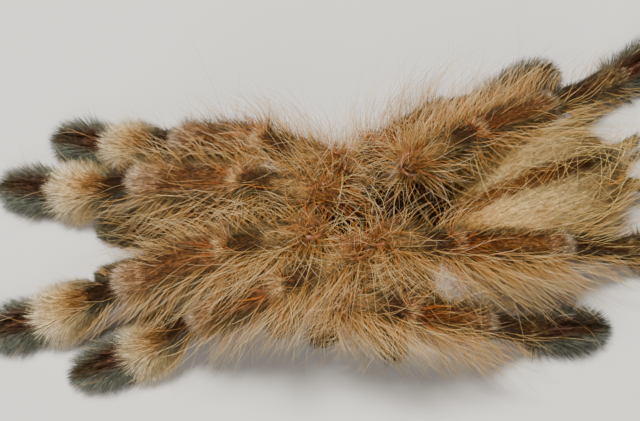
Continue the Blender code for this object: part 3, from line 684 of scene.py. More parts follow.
@dataclass(frozen=True)
class CoatFinish:
    """Chitin bristles grown from the skin, matt with a weak gloss along each; the skin has the same markings.
    Each bristle is darkened at its root as painted shade deep in the coat, and lightened at its tip, partly
    its own lighter tip and partly a painted highlight.

    Attributes:
        name: Name of the finish.
        top: Colours along the upper side, from near end to far end.
        side: Colours along the flanks and the underside.
        border: Shares of the way round from top to bottom between which the flank's colours take over.
        stripe: Colours along the middle of the upper side.
        stripe_edge: Shares of the way round between which the stripe ends.
        root: Brightness of a bristle at its root, a painted shade deep in the coat.
        tip: Brightness of a bristle at its tip, partly its own lighter tip and partly a painted highlight.
        spread: How much brighter or darker than the mean a bristle may be.
        roughness: Roughness of the bristles.
        skin_roughness: Roughness of the skin between them.
        gloss: Level of their weak reflection.
        mottle: Size of the tufts that shift a border.
        wander: How far they shift it along the part and round it, as shares.
        clump: Size of the clumps in which neighbours share a brightness.
        clump_range: Brightness of the darkest and of the lightest clumps.
        fur: Distance between the finest hairs, drawn as bump on the skin.
    """

    name: str
    top: tuple
    side: tuple
    border: tuple[float, float] = (0.3, 0.5)
    stripe: tuple | None = None
    stripe_edge: tuple[float, float] = (0.02, 0.05)
    root: float = 0.26
    tip: float = 1.22
    spread: float = 0.55
    roughness: float = 0.55
    skin_roughness: float = 0.85
    gloss: float = 0.24
    mottle: float = 1.2
    wander: tuple[float, float] = (0.16, 0.12)
    clump: float = 0.5
    clump_range: tuple[float, float] = (0.56, 1.42)
    fur: float = 0.12

    @staticmethod
    def give_way(tree: bpy.types.NodeTree, around: bpy.types.NodeSocket, edge: tuple[float, float],
                 inner: bpy.types.NodeSocket, outer: bpy.types.NodeSocket) -> bpy.types.NodeSocket:
        """Let one colour give way to another over a stretch of the way round.

        Args:
            tree: Material's node tree.
            around: Share of the way round from top to bottom.
            edge: Shares between which the change comes.
            inner: Colour near the top.
            outer: Colour beyond.

        Returns:
            The mixed colour.
        """
        share = add_node(tree, "ShaderNodeMapRange",
                         {"Value": around, "From Min": edge[0], "From Max": edge[1]},
                         interpolation_type="SMOOTHSTEP")
        mix = add_node(tree, "ShaderNodeMix", {0: share.outputs[0], 6: inner, 7: outer}, data_type="RGBA")
        return mix.outputs[2]

    def build(self, bare: bool = False) -> bpy.types.Material:
        """Make the material.

        Args:
            bare: Whether it is for the skin, which gets fine fur as bump.

        Returns:
            The material.
        """
        material, tree, shader = new_material(self.name + ("_skin" if bare else "_bristles"))
        place, turn, strand, chance = (
            add_node(tree, "ShaderNodeAttribute", attribute_name=name).outputs["Fac"] for name in MARKS)
        spot = add_node(tree, "ShaderNodeTexCoord").outputs["Object"]
        # Tufts of bristles shift every border a little.
        mottle = add_node(tree, "ShaderNodeTexNoise",
                          {"Vector": spot, "Scale": 1.0 / (self.mottle * MM), "Detail": 3.0})
        wander = add_node(tree, "ShaderNodeMath", {0: mottle.outputs["Fac"], 1: 0.5}, operation="SUBTRACT")
        along, around = (
            add_node(tree, "ShaderNodeMath", {0: wander.outputs[0], 1: share, 2: mark},
                     operation="MULTIPLY_ADD").outputs[0]
            for share, mark in zip(self.wander, (place, turn)))
        top, side = (fill_ramp(add_node(tree, "ShaderNodeValToRGB", {"Fac": along}), stops)
                     for stops in (self.top, self.side))
        colour = self.give_way(tree, around, self.border, top, side)
        if self.stripe:
            line = fill_ramp(add_node(tree, "ShaderNodeValToRGB", {"Fac": along}), self.stripe)
            colour = self.give_way(tree, around, self.stripe_edge, line, colour)
        # Every bristle is darkened at its root as painted shade deep in the coat, and lightened towards its
        # tip, partly its own lighter tip and partly a painted highlight; some are lighter than others.
        shade = fill_ramp(add_node(tree, "ShaderNodeValToRGB", {"Fac": strand}),
                          ((0.0, self.root), (0.55, 0.85), (1.0, self.tip)))
        luck = add_node(tree, "ShaderNodeMapRange",
                        {"Value": chance, "To Min": 1.0 - self.spread, "To Max": 1.0 + self.spread})
        # Neighbouring bristles stand in clumps that share a brightness.
        clump = add_node(tree, "ShaderNodeTexNoise",
                         {"Vector": spot, "Scale": 1.0 / (self.clump * MM), "Detail": 2.0})
        streak = add_node(tree, "ShaderNodeMapRange",
                          {"Value": clump.outputs["Fac"], "From Min": 0.3, "From Max": 0.7,
                           "To Min": self.clump_range[0], "To Max": self.clump_range[1]})
        luck = add_node(tree, "ShaderNodeMath", {0: luck.outputs[0], 1: streak.outputs[0]},
                        operation="MULTIPLY")
        bright = add_node(tree, "ShaderNodeMath", {0: shade, 1: luck.outputs[0]}, operation="MULTIPLY")
        final = add_node(tree, "ShaderNodeVectorMath", {0: colour, "Scale": bright.outputs[0]},
                         operation="SCALE")
        tree.links.new(final.outputs[0], shader.inputs["Base Color"])
        shader.inputs["Roughness"].default_value = self.skin_roughness if bare else self.roughness
        shader.inputs["Specular IOR Level"].default_value = self.gloss
        if bare:
            fur = add_node(tree, "ShaderNodeTexNoise",
                           {"Vector": spot, "Scale": 1.0 / (self.fur * MM), "Detail": 2.0})
            bump = add_node(tree, "ShaderNodeBump",
                            {"Height": fur.outputs["Fac"], "Distance": self.fur * MM, "Strength": 0.8})
            tree.links.new(bump.outputs["Normal"], shader.inputs["Normal"])
        return material


@dataclass(frozen=True)
class SetaFinish:
    """Long stiff chitin setae, satin: deep amber at the root and paler towards the tip.

    Attributes:
        name: Name of the finish.
        warm: Colours from root to tip of the warmest ones.
        pale: Colours from root to tip of the palest ones.
        fewer: Power of the random number, which makes the warm ones the fewer.
        roughness: Roughness, satin.
        gloss: Level of their reflection.
    """

    name: str
    warm: tuple
    pale: tuple
    fewer: float = 0.6
    roughness: float = 0.42
    gloss: float = 0.4

    def build(self) -> bpy.types.Material:
        """Make the material.

        Returns:
            The material.
        """
        material, tree, shader = new_material(self.name)
        strand, chance = (
            add_node(tree, "ShaderNodeAttribute", attribute_name=name).outputs["Fac"] for name in MARKS[2:])
        warm, pale = (fill_ramp(add_node(tree, "ShaderNodeValToRGB", {"Fac": strand}), stops)
                      for stops in (self.warm, self.pale))
        paleness = add_node(tree, "ShaderNodeMath", {0: chance, 1: self.fewer}, operation="POWER")
        colour = add_node(tree, "ShaderNodeMix", {0: paleness.outputs[0], 6: warm, 7: pale}, data_type="RGBA")
        tree.links.new(colour.outputs[2], shader.inputs["Base Color"])
        shader.inputs["Roughness"].default_value = self.roughness
        shader.inputs["Specular IOR Level"].default_value = self.gloss
        return material


# Where root and tip are given, they set the painted shade at the bristles' roots and the painted highlight at
# their tips.
COAT = {
    Kind.COXA: CoatFinish("coxa", ("#33241a", "#4a3420"), ("#261c15", "#3d2c1c")),
    Kind.FEMUR: CoatFinish(
        "femur", ((0.0, "#2f1d10"), (0.6, "#462a14"), (0.88, "#6b3a14"), (1.0, "#824c1c")),
        ((0.0, "#2b2014"), (0.8, "#46341a"), (1.0, "#6e461c"))),
    Kind.PATELLA: CoatFinish(
        "patella", ((0.0, "#8a5a26"), (0.1, "#ab8048"), (0.4, "#a17c46"), (0.58, "#5c3a18"),
                    (0.86, "#573616"), (0.95, "#c09a60"), (1.0, "#dab67c")),
        ((0.0, "#8a683c"), (0.5, "#75603a"), (0.9, "#766544"), (1.0, "#c4a16a")), (0.24, 0.42)),
    Kind.TIBIA: CoatFinish(
        "tibia", ((0.0, "#b87840"), (0.14, "#a46c3a"), (0.45, "#946032"), (0.7, "#a8703c"),
                  (0.84, "#d2a574"), (1.0, "#ecd0a8")),
        ((0.0, "#7a6440"), (0.6, "#86704a"), (0.82, "#c09862"), (1.0, "#e6c89c")), (0.24, 0.42)),
    Kind.METATARSUS: CoatFinish(
        "metatarsus", ((0.0, "#7f5028"), (0.15, "#533418"), (0.4, "#5f3d1c"), (0.52, "#a8743a"),
                       (0.7, "#deb878"), (1.0, "#efdcb2")),
        ((0.0, "#625f47"), (0.4, "#6e6950"), (0.56, "#b09664"), (0.74, "#e2c692"), (1.0, "#eddcb8")),
        (0.2, 0.38), root=0.27, tip=1.45),
    Kind.HIND_TIBIA: CoatFinish(
        "hind_tibia", ((0.0, "#97420f"), (0.08, "#9a541f"), (0.4, "#a8682c"), (0.75, "#b4763a"),
                       (0.9, "#d29e68"), (1.0, "#f0d2a8")),
        ((0.0, "#8f7a50"), (0.6, "#a38c58"), (0.88, "#c09c62"), (1.0, "#ecd0a8")), (0.2, 0.4)),
    Kind.HIND_METATARSUS: CoatFinish(
        "hind_metatarsus", ((0.0, "#6b4420"), (0.2, "#68421e"), (0.6, "#8a5c2c"), (0.85, "#b08a54"),
                            (1.0, "#e6ca9c")),
        ((0.0, "#635c42"), (0.5, "#776d4e"), (0.85, "#a89062"), (1.0, "#e2c698")), (0.16, 0.34)),
    Kind.TARSUS: CoatFinish(
        "tarsus", ((0.0, "#52290f"), (0.5, "#44250f"), (1.0, "#524226")),
        ((0.0, "#63604d"), (0.6, "#707361"), (1.0, "#7e8371")), (0.15, 0.34),
        stripe=((0.0, "#c89070"), (0.6, "#a07456"), (1.0, "#5d4830")), stripe_edge=(0.02, 0.055),
        root=0.2, tip=1.2),
    Kind.PALP: CoatFinish(
        "palp", ((0.0, "#964f1a"), (0.3, "#7d4b22"), (0.8, "#875424"), (1.0, "#ad7a42")),
        ((0.0, "#7b4f22"), (0.6, "#785729"), (1.0, "#9c7845"))),
    Kind.PALP_TARSUS: CoatFinish(
        "palp_tarsus", ((0.0, "#7d4f22"), (0.5, "#6e5230"), (1.0, "#696143")),
        ((0.0, "#7b673d"), (0.6, "#746c4d"), (1.0, "#7d7859")), (0.2, 0.4)),
    # The carapace's coat is very dark, darkest round the fovea: partly its own colour and partly painted
    # shade from the knees drawn up over it.
    Kind.CARAPACE: CoatFinish(
        "carapace", ((0.0, "#2b130b"), (0.4, "#34180d"), (0.85, "#4a2815"), (1.0, "#8a6a42")),
        ((0.0, "#4a2213"), (0.4, "#6b3c1f"), (0.85, "#7d5228"), (1.0, "#9c7a4c")), (0.35, 0.8),
        spread=0.4),
    Kind.TUBERCLE: CoatFinish("eye_mound", ("#2b1710", "#2b1710"), ("#6b4526", "#7d5a36")),
    Kind.PEDICEL: CoatFinish("pedicel", ("#2f1a10", "#472c16"), ("#21160f", "#332216")),
    Kind.STERNUM: CoatFinish("sternum", ("#221913", "#2b2018"), ("#1c1510", "#241b15")),
    Kind.ABDOMEN: CoatFinish(
        "abdomen", ((0.0, "#82562a"), (0.1, "#b88a48"), (0.22, "#f6d692"), (0.7, "#f4d492"),
                    (0.9, "#c8ac78"), (1.0, "#988a68")),
        ((0.0, "#b09054"), (0.4, "#a08f66"), (1.0, "#7d745a")), (0.32, 0.52),
        stripe=((0.0, "#7a5022"), (0.2, "#8a5626"), (0.6, "#7b4a20"), (0.85, "#6b4f2c"), (1.0, "#756445")),
        stripe_edge=(0.045, 0.11), root=0.86, tip=1.65, spread=0.5),
    Kind.CHELICERA: CoatFinish("chelicera", ("#473220", "#5f452a"), ("#382819", "#6b3c1c")),
    Kind.SPINNERET: CoatFinish("spinneret", ("#9a7e50", "#b4945e"), ("#7f6a48", "#a08658")),
    Kind.MEMBRANE: CoatFinish("membrane", ("#571303", "#7d3408"), ("#420e03", "#662a08"), root=0.7, tip=1.2),
}
SETAE = {
    Hue.LEG: SetaFinish("amber_setae",
                        ((0.0, "#602604"), (0.3, "#a65806"), (1.0, "#c08c2c")),
                        ((0.0, "#6b4218"), (0.35, "#c29a50"), (1.0, "#f0dcae"))),
    Hue.JOINT: SetaFinish("rust_setae",
                          ((0.0, "#5f1402"), (0.4, "#b03a02"), (1.0, "#c46408")),
                          ((0.0, "#6b1e02"), (0.4, "#b85a08"), (1.0, "#d89a34"))),
    Hue.BODY: SetaFinish("golden_setae",
                         ((0.0, "#6b2d05"), (0.35, "#c07410"), (1.0, "#d8a036")),
                         ((0.0, "#85581e"), (0.35, "#cfa857"), (1.0, "#f2df9e"))),
}


@dataclass(frozen=True)
class Field:
    """One sort of bristle over a stretch of a part.

    Attributes:
        density: Bristles per square millimetre of skin.
        length: Mean length.
        lift: Angle from the skin, in degrees.
        stretch: Shares of the part's length between which it grows.
        sector: Shares of the way round from top to bottom between which it grows, on both sides.
        width: Thickness at the root.
        joints: Bends along each bristle; none for short straight ones.
        bow: How far it bends back towards the skin.
        sway: How far it bends sideways.
        stray: Spread of its direction, in degrees.
        flare: Extra lift at the far end of the stretch, in degrees.
        spread: Spread of the length, as a share.
        lie: Which way the coat lies.
        near_dome: Whether it grows on the dome at the near end too.
        far_dome: Whether it grows on the dome at the far end too.
        curl: How far it bends the way the coat lies.
        side_lift: Extra lift on the flanks, in degrees.
        fan: How strongly bristles near the middle line turn outwards.
        swell: Length at the near end, middle and far end of the stretch, as shares.
        droop: How far its weight bends it down.
        outer: Whether it grows only on the side of a leg that faces away from the body.
    """

    density: float
    length: float
    lift: float
    stretch: tuple[float, float] = (0.0, 1.0)
    sector: tuple[float, float] = (0.0, 1.0)
    width: float = 0.1
    joints: int = 0
    bow: float = 0.3
    sway: float = 0.1
    stray: float = 10.0
    flare: float = 0.0
    spread: float = 0.22
    lie: Lie = Lie.ALONG
    near_dome: bool = False
    far_dome: bool = False
    curl: float = 0.0
    side_lift: float = 0.0
    fan: float = 0.0
    swell: tuple[float, float, float] = (1.0, 1.0, 1.0)
    droop: float = 0.0
    outer: bool = False


@dataclass(frozen=True)
class LongField(Field):
    """One sort of long curved seta, with the values that most sorts share."""

    width: float = 0.056
    joints: int = 3
    sway: float = 0.4
    stray: float = 24.0
    spread: float = 0.28
    curl: float = 0.35


PLUSH = {
    Kind.COXA: (Field(15, 2.2, 32, near_dome=True, far_dome=True, stray=16, width=0.11),),
    Kind.FEMUR: (Field(17, 2.1, 30, near_dome=True, far_dome=True, stray=14, width=0.11),),
    Kind.PATELLA: (
        Field(40, 1.4, 24, (0.0, 0.97), (0.0, 0.42), near_dome=True, stray=22, width=0.095),
        Field(30, 2.4, 34, (0.0, 1.0), (0.32, 0.72), near_dome=True, stray=14, bow=0.2, width=0.11),
        Field(10, 1.8, 38, (0.0, 1.0), (0.7, 1.0), near_dome=True, stray=14, width=0.12),
        Field(6, 3.8, 58, (0.0, 1.0), (0.42, 0.75), near_dome=True, stray=16, curl=0.2, width=0.08,
              spread=0.3),
        Field(40, 1.5, 36, (0.84, 1.0), (0.0, 0.6), flare=18, far_dome=True),
    ),
    Kind.TIBIA: (
        Field(42, 1.7, 16, (0.0, 0.95), (0.0, 0.36), near_dome=True, width=0.095, side_lift=8),
        Field(32, 3.2, 42, (0.0, 0.95), (0.26, 0.7), near_dome=True, stray=11, bow=0.2, width=0.11),
        Field(10, 2.0, 40, (0.0, 0.95), (0.7, 1.0), near_dome=True, stray=11, width=0.12),
        Field(12, 4.2, 60, (0.0, 0.95), (0.34, 0.7), near_dome=True, stray=13, curl=0.25, width=0.08,
              spread=0.3),
        Field(58, 2.2, 26, (0.76, 1.0), (0.0, 0.75), side_lift=18, flare=20, far_dome=True, stray=13,
              fan=14, spread=0.14),
    ),
    Kind.METATARSUS: (
        Field(42, 1.9, 18, (0.0, 0.8), (0.0, 0.28), near_dome=True, width=0.095),
        Field(34, 2.6, 44, (0.0, 0.8), (0.22, 0.75), near_dome=True, stray=11, spread=0.16, width=0.11),
        Field(14, 1.9, 44, (0.0, 0.8), (0.75, 1.0), near_dome=True, stray=11, width=0.12),
        Field(84, 3.5, 26, (0.42, 1.0), (0.0, 0.8), side_lift=34, flare=20, far_dome=True, stray=15,
              bow=0.1, fan=36, spread=0.09, swell=(0.72, 1.0, 1.0), width=0.11),
        Field(40, 1.8, 40, (0.5, 1.0), (0.8, 1.0), far_dome=True, width=0.12),
    ),
    Kind.HIND_TIBIA: (
        Field(50, 1.7, 14, (0.0, 0.97), (0.0, 0.4), near_dome=True, width=0.095, side_lift=6),
        Field(36, 2.5, 30, (0.0, 0.97), (0.26, 0.7), near_dome=True, stray=12, bow=0.2, width=0.11),
        Field(12, 2.2, 42, (0.0, 0.95), (0.7, 1.0), near_dome=True, stray=14, width=0.12),
        Field(60, 1.7, 24, (0.84, 1.0), (0.0, 0.75), side_lift=12, flare=22, far_dome=True, stray=13,
              fan=14, spread=0.14),
    ),
    Kind.HIND_METATARSUS: (
        Field(46, 1.8, 15, (0.0, 0.9), (0.0, 0.28), near_dome=True, width=0.095),
        Field(38, 2.3, 30, (0.0, 0.95), (0.22, 0.75), near_dome=True, stray=12, spread=0.2, width=0.11),
        Field(14, 2.0, 40, (0.0, 0.95), (0.75, 1.0), near_dome=True, stray=12, width=0.12),
        Field(56, 2.2, 22, (0.7, 1.0), (0.0, 0.8), side_lift=18, flare=18, far_dome=True, stray=14,
              fan=24, spread=0.14, width=0.1),
    ),
    Kind.TARSUS: (
        Field(40, 1.8, 20, (0.0, 1.0), (0.0, 0.2), width=0.095, near_dome=True, far_dome=True, fan=12),
        Field(56, 3.5, 26, (0.0, 1.0), (0.11, 0.62), near_dome=True, far_dome=True, stray=8, bow=0.15,
              side_lift=26, spread=0.1, swell=(0.9, 1.08, 0.72)),
        Field(20, 1.6, 40, (0.0, 1.0), (0.62, 1.0), near_dome=True, far_dome=True, width=0.12),
    ),
    Kind.PALP: (Field(30, 2.0, 30, near_dome=True, far_dome=True, stray=14),),
    Kind.PALP_TARSUS: (
        Field(42, 2.2, 26, near_dome=True, far_dome=True, side_lift=20, spread=0.14,
              swell=(1.0, 1.05, 0.75)),
    ),
    Kind.CARAPACE: (Field(36, 1.2, 18, (0.0, 1.0), (0.0, 0.6), lie=Lie.OUTWARD),),
    Kind.TUBERCLE: (
        Field(26, 0.5, 30, (0.0, 1.0), (0.3, 1.0), near_dome=True, far_dome=True, width=0.07),
    ),
    Kind.STERNUM: (Field(10, 1.1, 24, width=0.12),),
    Kind.PEDICEL: (Field(20, 2.6, 34, stray=20, width=0.12),),
    Kind.ABDOMEN: (
        Field(12, 3.2, 54, (0.0, 0.14), width=0.1, stray=14, bow=0.3),
        Field(22, 4.0, 34, (0.02, 0.42), (0.2, 0.7), width=0.09, stray=14, bow=0.15, side_lift=16,
              spread=0.28),
        Field(54, 3.3, 12, (0.0, 1.0), (0.0, 0.6), width=0.09, bow=0.15, stray=8, spread=0.24,
              side_lift=10),
        Field(26, 3.0, 16, (0.0, 1.0), (0.6, 1.0), width=0.12, bow=0.1, stray=8),
    ),
    Kind.MEMBRANE: (Field(6, 0.9, 24, near_dome=True, far_dome=True, stray=60, width=0.06, curl=0.3),),
    Kind.CHELICERA: (Field(30, 1.5, 26, near_dome=True),),
    Kind.SPINNERET: (Field(60, 1.9, 26, far_dome=True, width=0.08, stray=14, spread=0.3),),
}
LONG = {
    Kind.COXA: (LongField(0.5, 5.4, 62, sway=0.3, curl=0.3, spread=0.35, far_dome=True, droop=0.2),),
    Kind.FEMUR: (
        LongField(3.4, 6.8, 58, (0.25, 1.0), width=0.054, stray=30, curl=0.3, spread=0.3, far_dome=True,
                  droop=0.45, outer=True),
        LongField(0.9, 6.2, 70, (0.1, 0.95), width=0.06, stray=28, sway=0.35, spread=0.3, far_dome=True,
                  droop=0.35),
    ),
    Kind.MEMBRANE: (
        LongField(5.0, 3.8, 62, width=0.07, stray=70, sway=0.6, curl=0.5, spread=0.3, near_dome=True,
                  far_dome=True),
    ),
    Kind.HIND_TIBIA: (
        LongField(4.2, 6.8, 72, (0.0, 0.98), (0.3, 0.75), width=0.058, stray=16, sway=0.3, curl=0.5,
                  near_dome=True, droop=0.25),
        LongField(8.0, 8.6, 58, (0.0, 0.95), (0.3, 0.9), width=0.054, sway=0.45, near_dome=True,
                  droop=0.35, outer=True),
        LongField(0.5, 5.0, 46, (0.0, 0.9), (0.0, 0.28), width=0.054, stray=44, sway=0.5, curl=0.4,
                  spread=0.35),
    ),
    Kind.HIND_METATARSUS: (
        LongField(3.0, 5.6, 62, (0.0, 0.95), (0.26, 0.8), stray=16, sway=0.32, curl=0.5, spread=0.3,
                  droop=0.2),
    ),
    Kind.PATELLA: (
        LongField(2.3, 6.8, 74, (0.0, 0.95), (0.3, 0.8), width=0.06, stray=16, sway=0.28, spread=0.25,
                  near_dome=True, droop=0.3),
        LongField(8.0, 8.2, 60, (0.0, 1.0), (0.25, 1.0), width=0.054, near_dome=True, droop=0.4,
                  outer=True),
        LongField(0.6, 5.2, 60, (0.0, 0.9), (0.0, 0.28), stray=50, sway=0.5, curl=0.5, spread=0.35,
                  near_dome=True),
    ),
    Kind.TIBIA: (
        LongField(3.4, 6.6, 78, (0.0, 0.95), (0.3, 0.75), width=0.06, stray=14, sway=0.26, curl=0.5,
                  spread=0.25, near_dome=True, droop=0.2),
        LongField(1.6, 7.8, 66, (0.0, 0.95), (0.5, 0.85), stray=20, curl=0.4, near_dome=True, droop=0.45),
        LongField(0.4, 5.6, 50, (0.0, 0.9), (0.0, 0.28), stray=44, sway=0.5, curl=0.4, spread=0.35),
    ),
    Kind.METATARSUS: (
        LongField(2.0, 4.7, 74, (0.0, 0.9), (0.26, 0.75), width=0.058, stray=14, sway=0.28, curl=0.5),
        LongField(0.25, 5.4, 40, (0.0, 0.6), (0.0, 0.25), width=0.054, stray=30, curl=0.4, spread=0.35),
    ),
    Kind.TARSUS: (
        LongField(0.3, 4.4, 44, (0.0, 0.8), (0.0, 0.5), width=0.05, stray=28, curl=0.4, spread=0.35),
    ),
    Kind.PALP: (
        LongField(2.4, 5.2, 60, width=0.06, stray=26, curl=0.5, spread=0.35, far_dome=True),
    ),
    Kind.PALP_TARSUS: (
        LongField(1.8, 4.4, 52, (0.0, 0.8), (0.0, 0.7), stray=20, sway=0.35, curl=0.5, spread=0.35),
    ),
    Kind.ABDOMEN: (
        LongField(0.8, 7.6, 56, (0.04, 0.98), (0.0, 0.8), width=0.058, joints=4, stray=30, sway=0.45,
                  bow=0.9, curl=0.5, spread=0.3),
        LongField(1.5, 6.8, 44, (0.02, 1.0), (0.25, 0.95), stray=34, sway=0.5, bow=0.5, curl=0.4,
                  spread=0.3),
        LongField(7.0, 7.8, 74, (0.0, 0.4), (0.42, 0.75), stray=26, sway=0.45, bow=0.2, curl=0.25,
                  droop=0.1),
    ),
    Kind.CARAPACE: (
        LongField(0.6, 3.8, 52, (0.05, 0.95), (0.0, 0.5), width=0.06, joints=2, stray=30, sway=0.3,
                  spread=0.35, curl=0.0, lie=Lie.OUTWARD),
    ),
    Kind.CHELICERA: (
        LongField(2.2, 3.6, 42, (0.1, 1.0), width=0.06, joints=2, stray=20, sway=0.1, spread=0.3, curl=0.0),
    ),
}


@dataclass
class Coat:
    """Bristles of several parts joined into one mesh.

    Attributes:
        name: Name of the piece.
        slot: Name of a material slot; not used.
        low: Lowest corner that tips may reach.
        high: Highest corner that tips may reach.
        seed: Seed of its random draws.
        sink: How deep the roots are in the skin.
        patch: Size of a bristle's patch on the unwrap, as a share of its side.
        facing: How squarely the skin under an outer curtain has to face away from the body.
        materials: Materials in the order of their slots.
        points: Corners of each sort.
        faces: Triangles of each sort.
        marks: What the corners know.
        patches: Where the corners are on the unwrap.
        slots: Number of each triangle's material.
        count: Corners so far.
    """

    name: str
    slot: str
    low: np.ndarray
    high: np.ndarray
    seed: int
    sink: float = 0.25
    patch: float = 0.003
    facing: float = 0.25
    materials: list[bpy.types.Material] = field(default_factory=list)
    points: list[np.ndarray] = field(default_factory=list)
    faces: list[np.ndarray] = field(default_factory=list)
    marks: list[np.ndarray] = field(default_factory=list)
    patches: list[np.ndarray] = field(default_factory=list)
    slots: list[np.ndarray] = field(default_factory=list)
    count: int = 0

    def grow(self, tube: Tube, sort: Field, material: bpy.types.Material, cell: tuple[int, int]) -> None:
        """Grow one sort of bristle on one part.

        Args:
            tube: Part that it grows on.
            sort: Sort of bristle.
            material: Its material.
            cell: Number of the part's strip on the piece's unwrap, and how many strips there are.
        """
        draw = np.random.default_rng([self.seed, len(self.points), cell[0]])
        x, turn = self.sow(tube, sort, draw)
        if len(x) == 0:
            return
        root, normal = tube.surface(x, turn)
        if sort.outer:
            away = normal[:, 1] * (1.0 if "_r" in tube.name else -1.0) > self.facing
            x, turn, root, normal = x[away], turn[away], root[away], normal[away]
        lie, side = self.comb(tube, sort, (root, normal, turn), draw)
        stretch = (x / tube.length - sort.stretch[0]) / (sort.stretch[1] - sort.stretch[0])
        stretch = np.clip(stretch, 0.0, 1.0)
        lift = sort.lift + sort.flare * stretch + sort.side_lift * np.abs(np.sin(turn))
        lift = np.radians(lift + draw.normal(0.0, 5.0, len(x)))[:, None]
        length = sort.length * np.clip(draw.normal(1.0, sort.spread, len(x)), 0.45, 1.5)
        length = (length * np.interp(stretch, (0.0, 0.5, 1.0), sort.swell))[:, None]
        start = root - normal * self.sink
        heading = lie * np.cos(lift) + normal * np.sin(lift)
        bend = -normal * np.sin(lift) * sort.bow + side * draw.normal(0.0, sort.sway, (len(x), 1))
        bend = bend + lie * sort.curl - np.array([0.0, 0.0, sort.droop])
        tip = start + length * (heading + bend)
        over = np.maximum(tip - self.high, 0.0) + np.maximum(self.low - tip, 0.0)
        extent = np.maximum(np.abs(tip - start), 1e-6)
        length = length * np.clip(1.0 - np.max(over / extent, axis=1, keepdims=True), 0.15, 1.0)
        self.mesh_strands((start, heading, bend, side, length), sort, draw)
        self.note_marks(tube, (x, turn, root), sort.joints + 1, draw, cell)
        if material not in self.materials:
            self.materials.append(material)
        self.slots.append(np.full(len(self.faces[-1]), self.materials.index(material), np.int32))

    @staticmethod
    def sow(tube: Tube, sort: Field, draw: np.random.Generator) -> tuple[np.ndarray, np.ndarray]:
        """Scatter roots evenly over a stretch of a part.

        Args:
            tube: Part to sow.
            sort: Sort of bristle.
            draw: Source of random numbers.

        Returns:
            Distances along the axis and angles round it.
        """
        low, high = tube.reach()
        begin = low if sort.near_dome else max(sort.stretch[0] * tube.length, low)
        finish = high if sort.far_dome else min(sort.stretch[1] * tube.length, high)
        edges = np.linspace(begin, finish, 41)
        wide, tall = tube.halves((edges[:-1] + edges[1:]) / 2)
        wide_edge, tall_edge = tube.halves(edges)
        slant = np.hypot(np.diff(edges), np.diff((wide_edge + tall_edge) / 2))
        area = math.pi * (wide + tall) * slant * (sort.sector[1] - sort.sector[0])
        number = int(round(area.sum() * sort.density))
        cells = draw.choice(len(area), size=number, p=area / area.sum())
        x = edges[cells] + draw.uniform(0.0, 1.0, number) * np.diff(edges)[cells]
        turn = draw.uniform(*sort.sector, number) * math.pi * draw.choice((-1.0, 1.0), number)
        return x, turn

    @staticmethod
    def comb(tube: Tube, sort: Field, roots: tuple[np.ndarray, ...],
             draw: np.random.Generator) -> tuple[np.ndarray, np.ndarray]:
        """Give each bristle the direction in which the coat lies, and its own stray from it.

        Args:
            tube: Part that it grows on.
            sort: Sort of bristle.
            roots: Roots, normals of the skin there and angles round the axis.
            draw: Source of random numbers.

        Returns:
            Directions along and across the lie, both along the skin.
        """
        root, normal, turn = roots
        lie = np.tile(tube.along, (len(root), 1))
        if sort.lie is Lie.OUTWARD:
            lie = root - (tube.start + tube.along * (tube.length / 2 + PROSOMA.fovea_station))
        lie = unit(lie - normal * np.sum(lie * normal, axis=1, keepdims=True))
        side = np.cross(normal, lie)
        stray = draw.normal(0.0, sort.stray, len(root))
        stray = stray - sort.fan * np.sin(2.0 * turn) * np.sign(side @ tube.across)
        stray = np.radians(stray)[:, None]
        return lie * np.cos(stray) + side * np.sin(stray), side * np.cos(stray) - lie * np.sin(stray)

    def note_marks(self, tube: Tube, roots: tuple[np.ndarray, ...], rings: int,
                   draw: np.random.Generator, cell: tuple[int, int]) -> None:
        """Note what each corner of new bristles knows, and its place on the unwrap.

        Args:
            tube: Part that they grow on.
            roots: Distances along the axis, angles round it and roots.
            rings: Rings of each bristle.
            draw: Source of random numbers.
            cell: Number of the part's strip on the piece's unwrap, and how many strips there are.
        """
        x, turn, root = roots
        offset = root - tube.start
        share, around = tube.marking(x, offset @ tube.across, offset @ tube.upper)
        steps = np.append(np.repeat(np.arange(rings) / rings, 3), 1.0)
        chance = draw.uniform(0.0, 1.0, len(x))
        table = np.empty((len(x), len(steps), 4))
        for number, values in enumerate((share[:, None], around[:, None], steps, chance[:, None])):
            table[:, :, number] = values
        self.marks.append(table.reshape(-1, 4))
        low, high = tube.reach()
        strip = (cell[0] + 0.04 + 0.92 * np.clip((x - low) / (high - low), 0.0, 1.0)) / cell[1]
        lengthwise = 0.02 + 0.95 * (turn / (2 * math.pi) + 0.5)
        column = np.append(np.tile(np.array([0.0, 0.5, 1.0]), rings), 0.5)
        spot = np.empty((len(x), len(steps), 2))
        spot[:, :, 0] = strip[:, None] + (column - 0.5) * self.patch
        spot[:, :, 1] = lengthwise[:, None] + (steps - 0.5) * self.patch
        self.patches.append(spot.reshape(-1, 2))

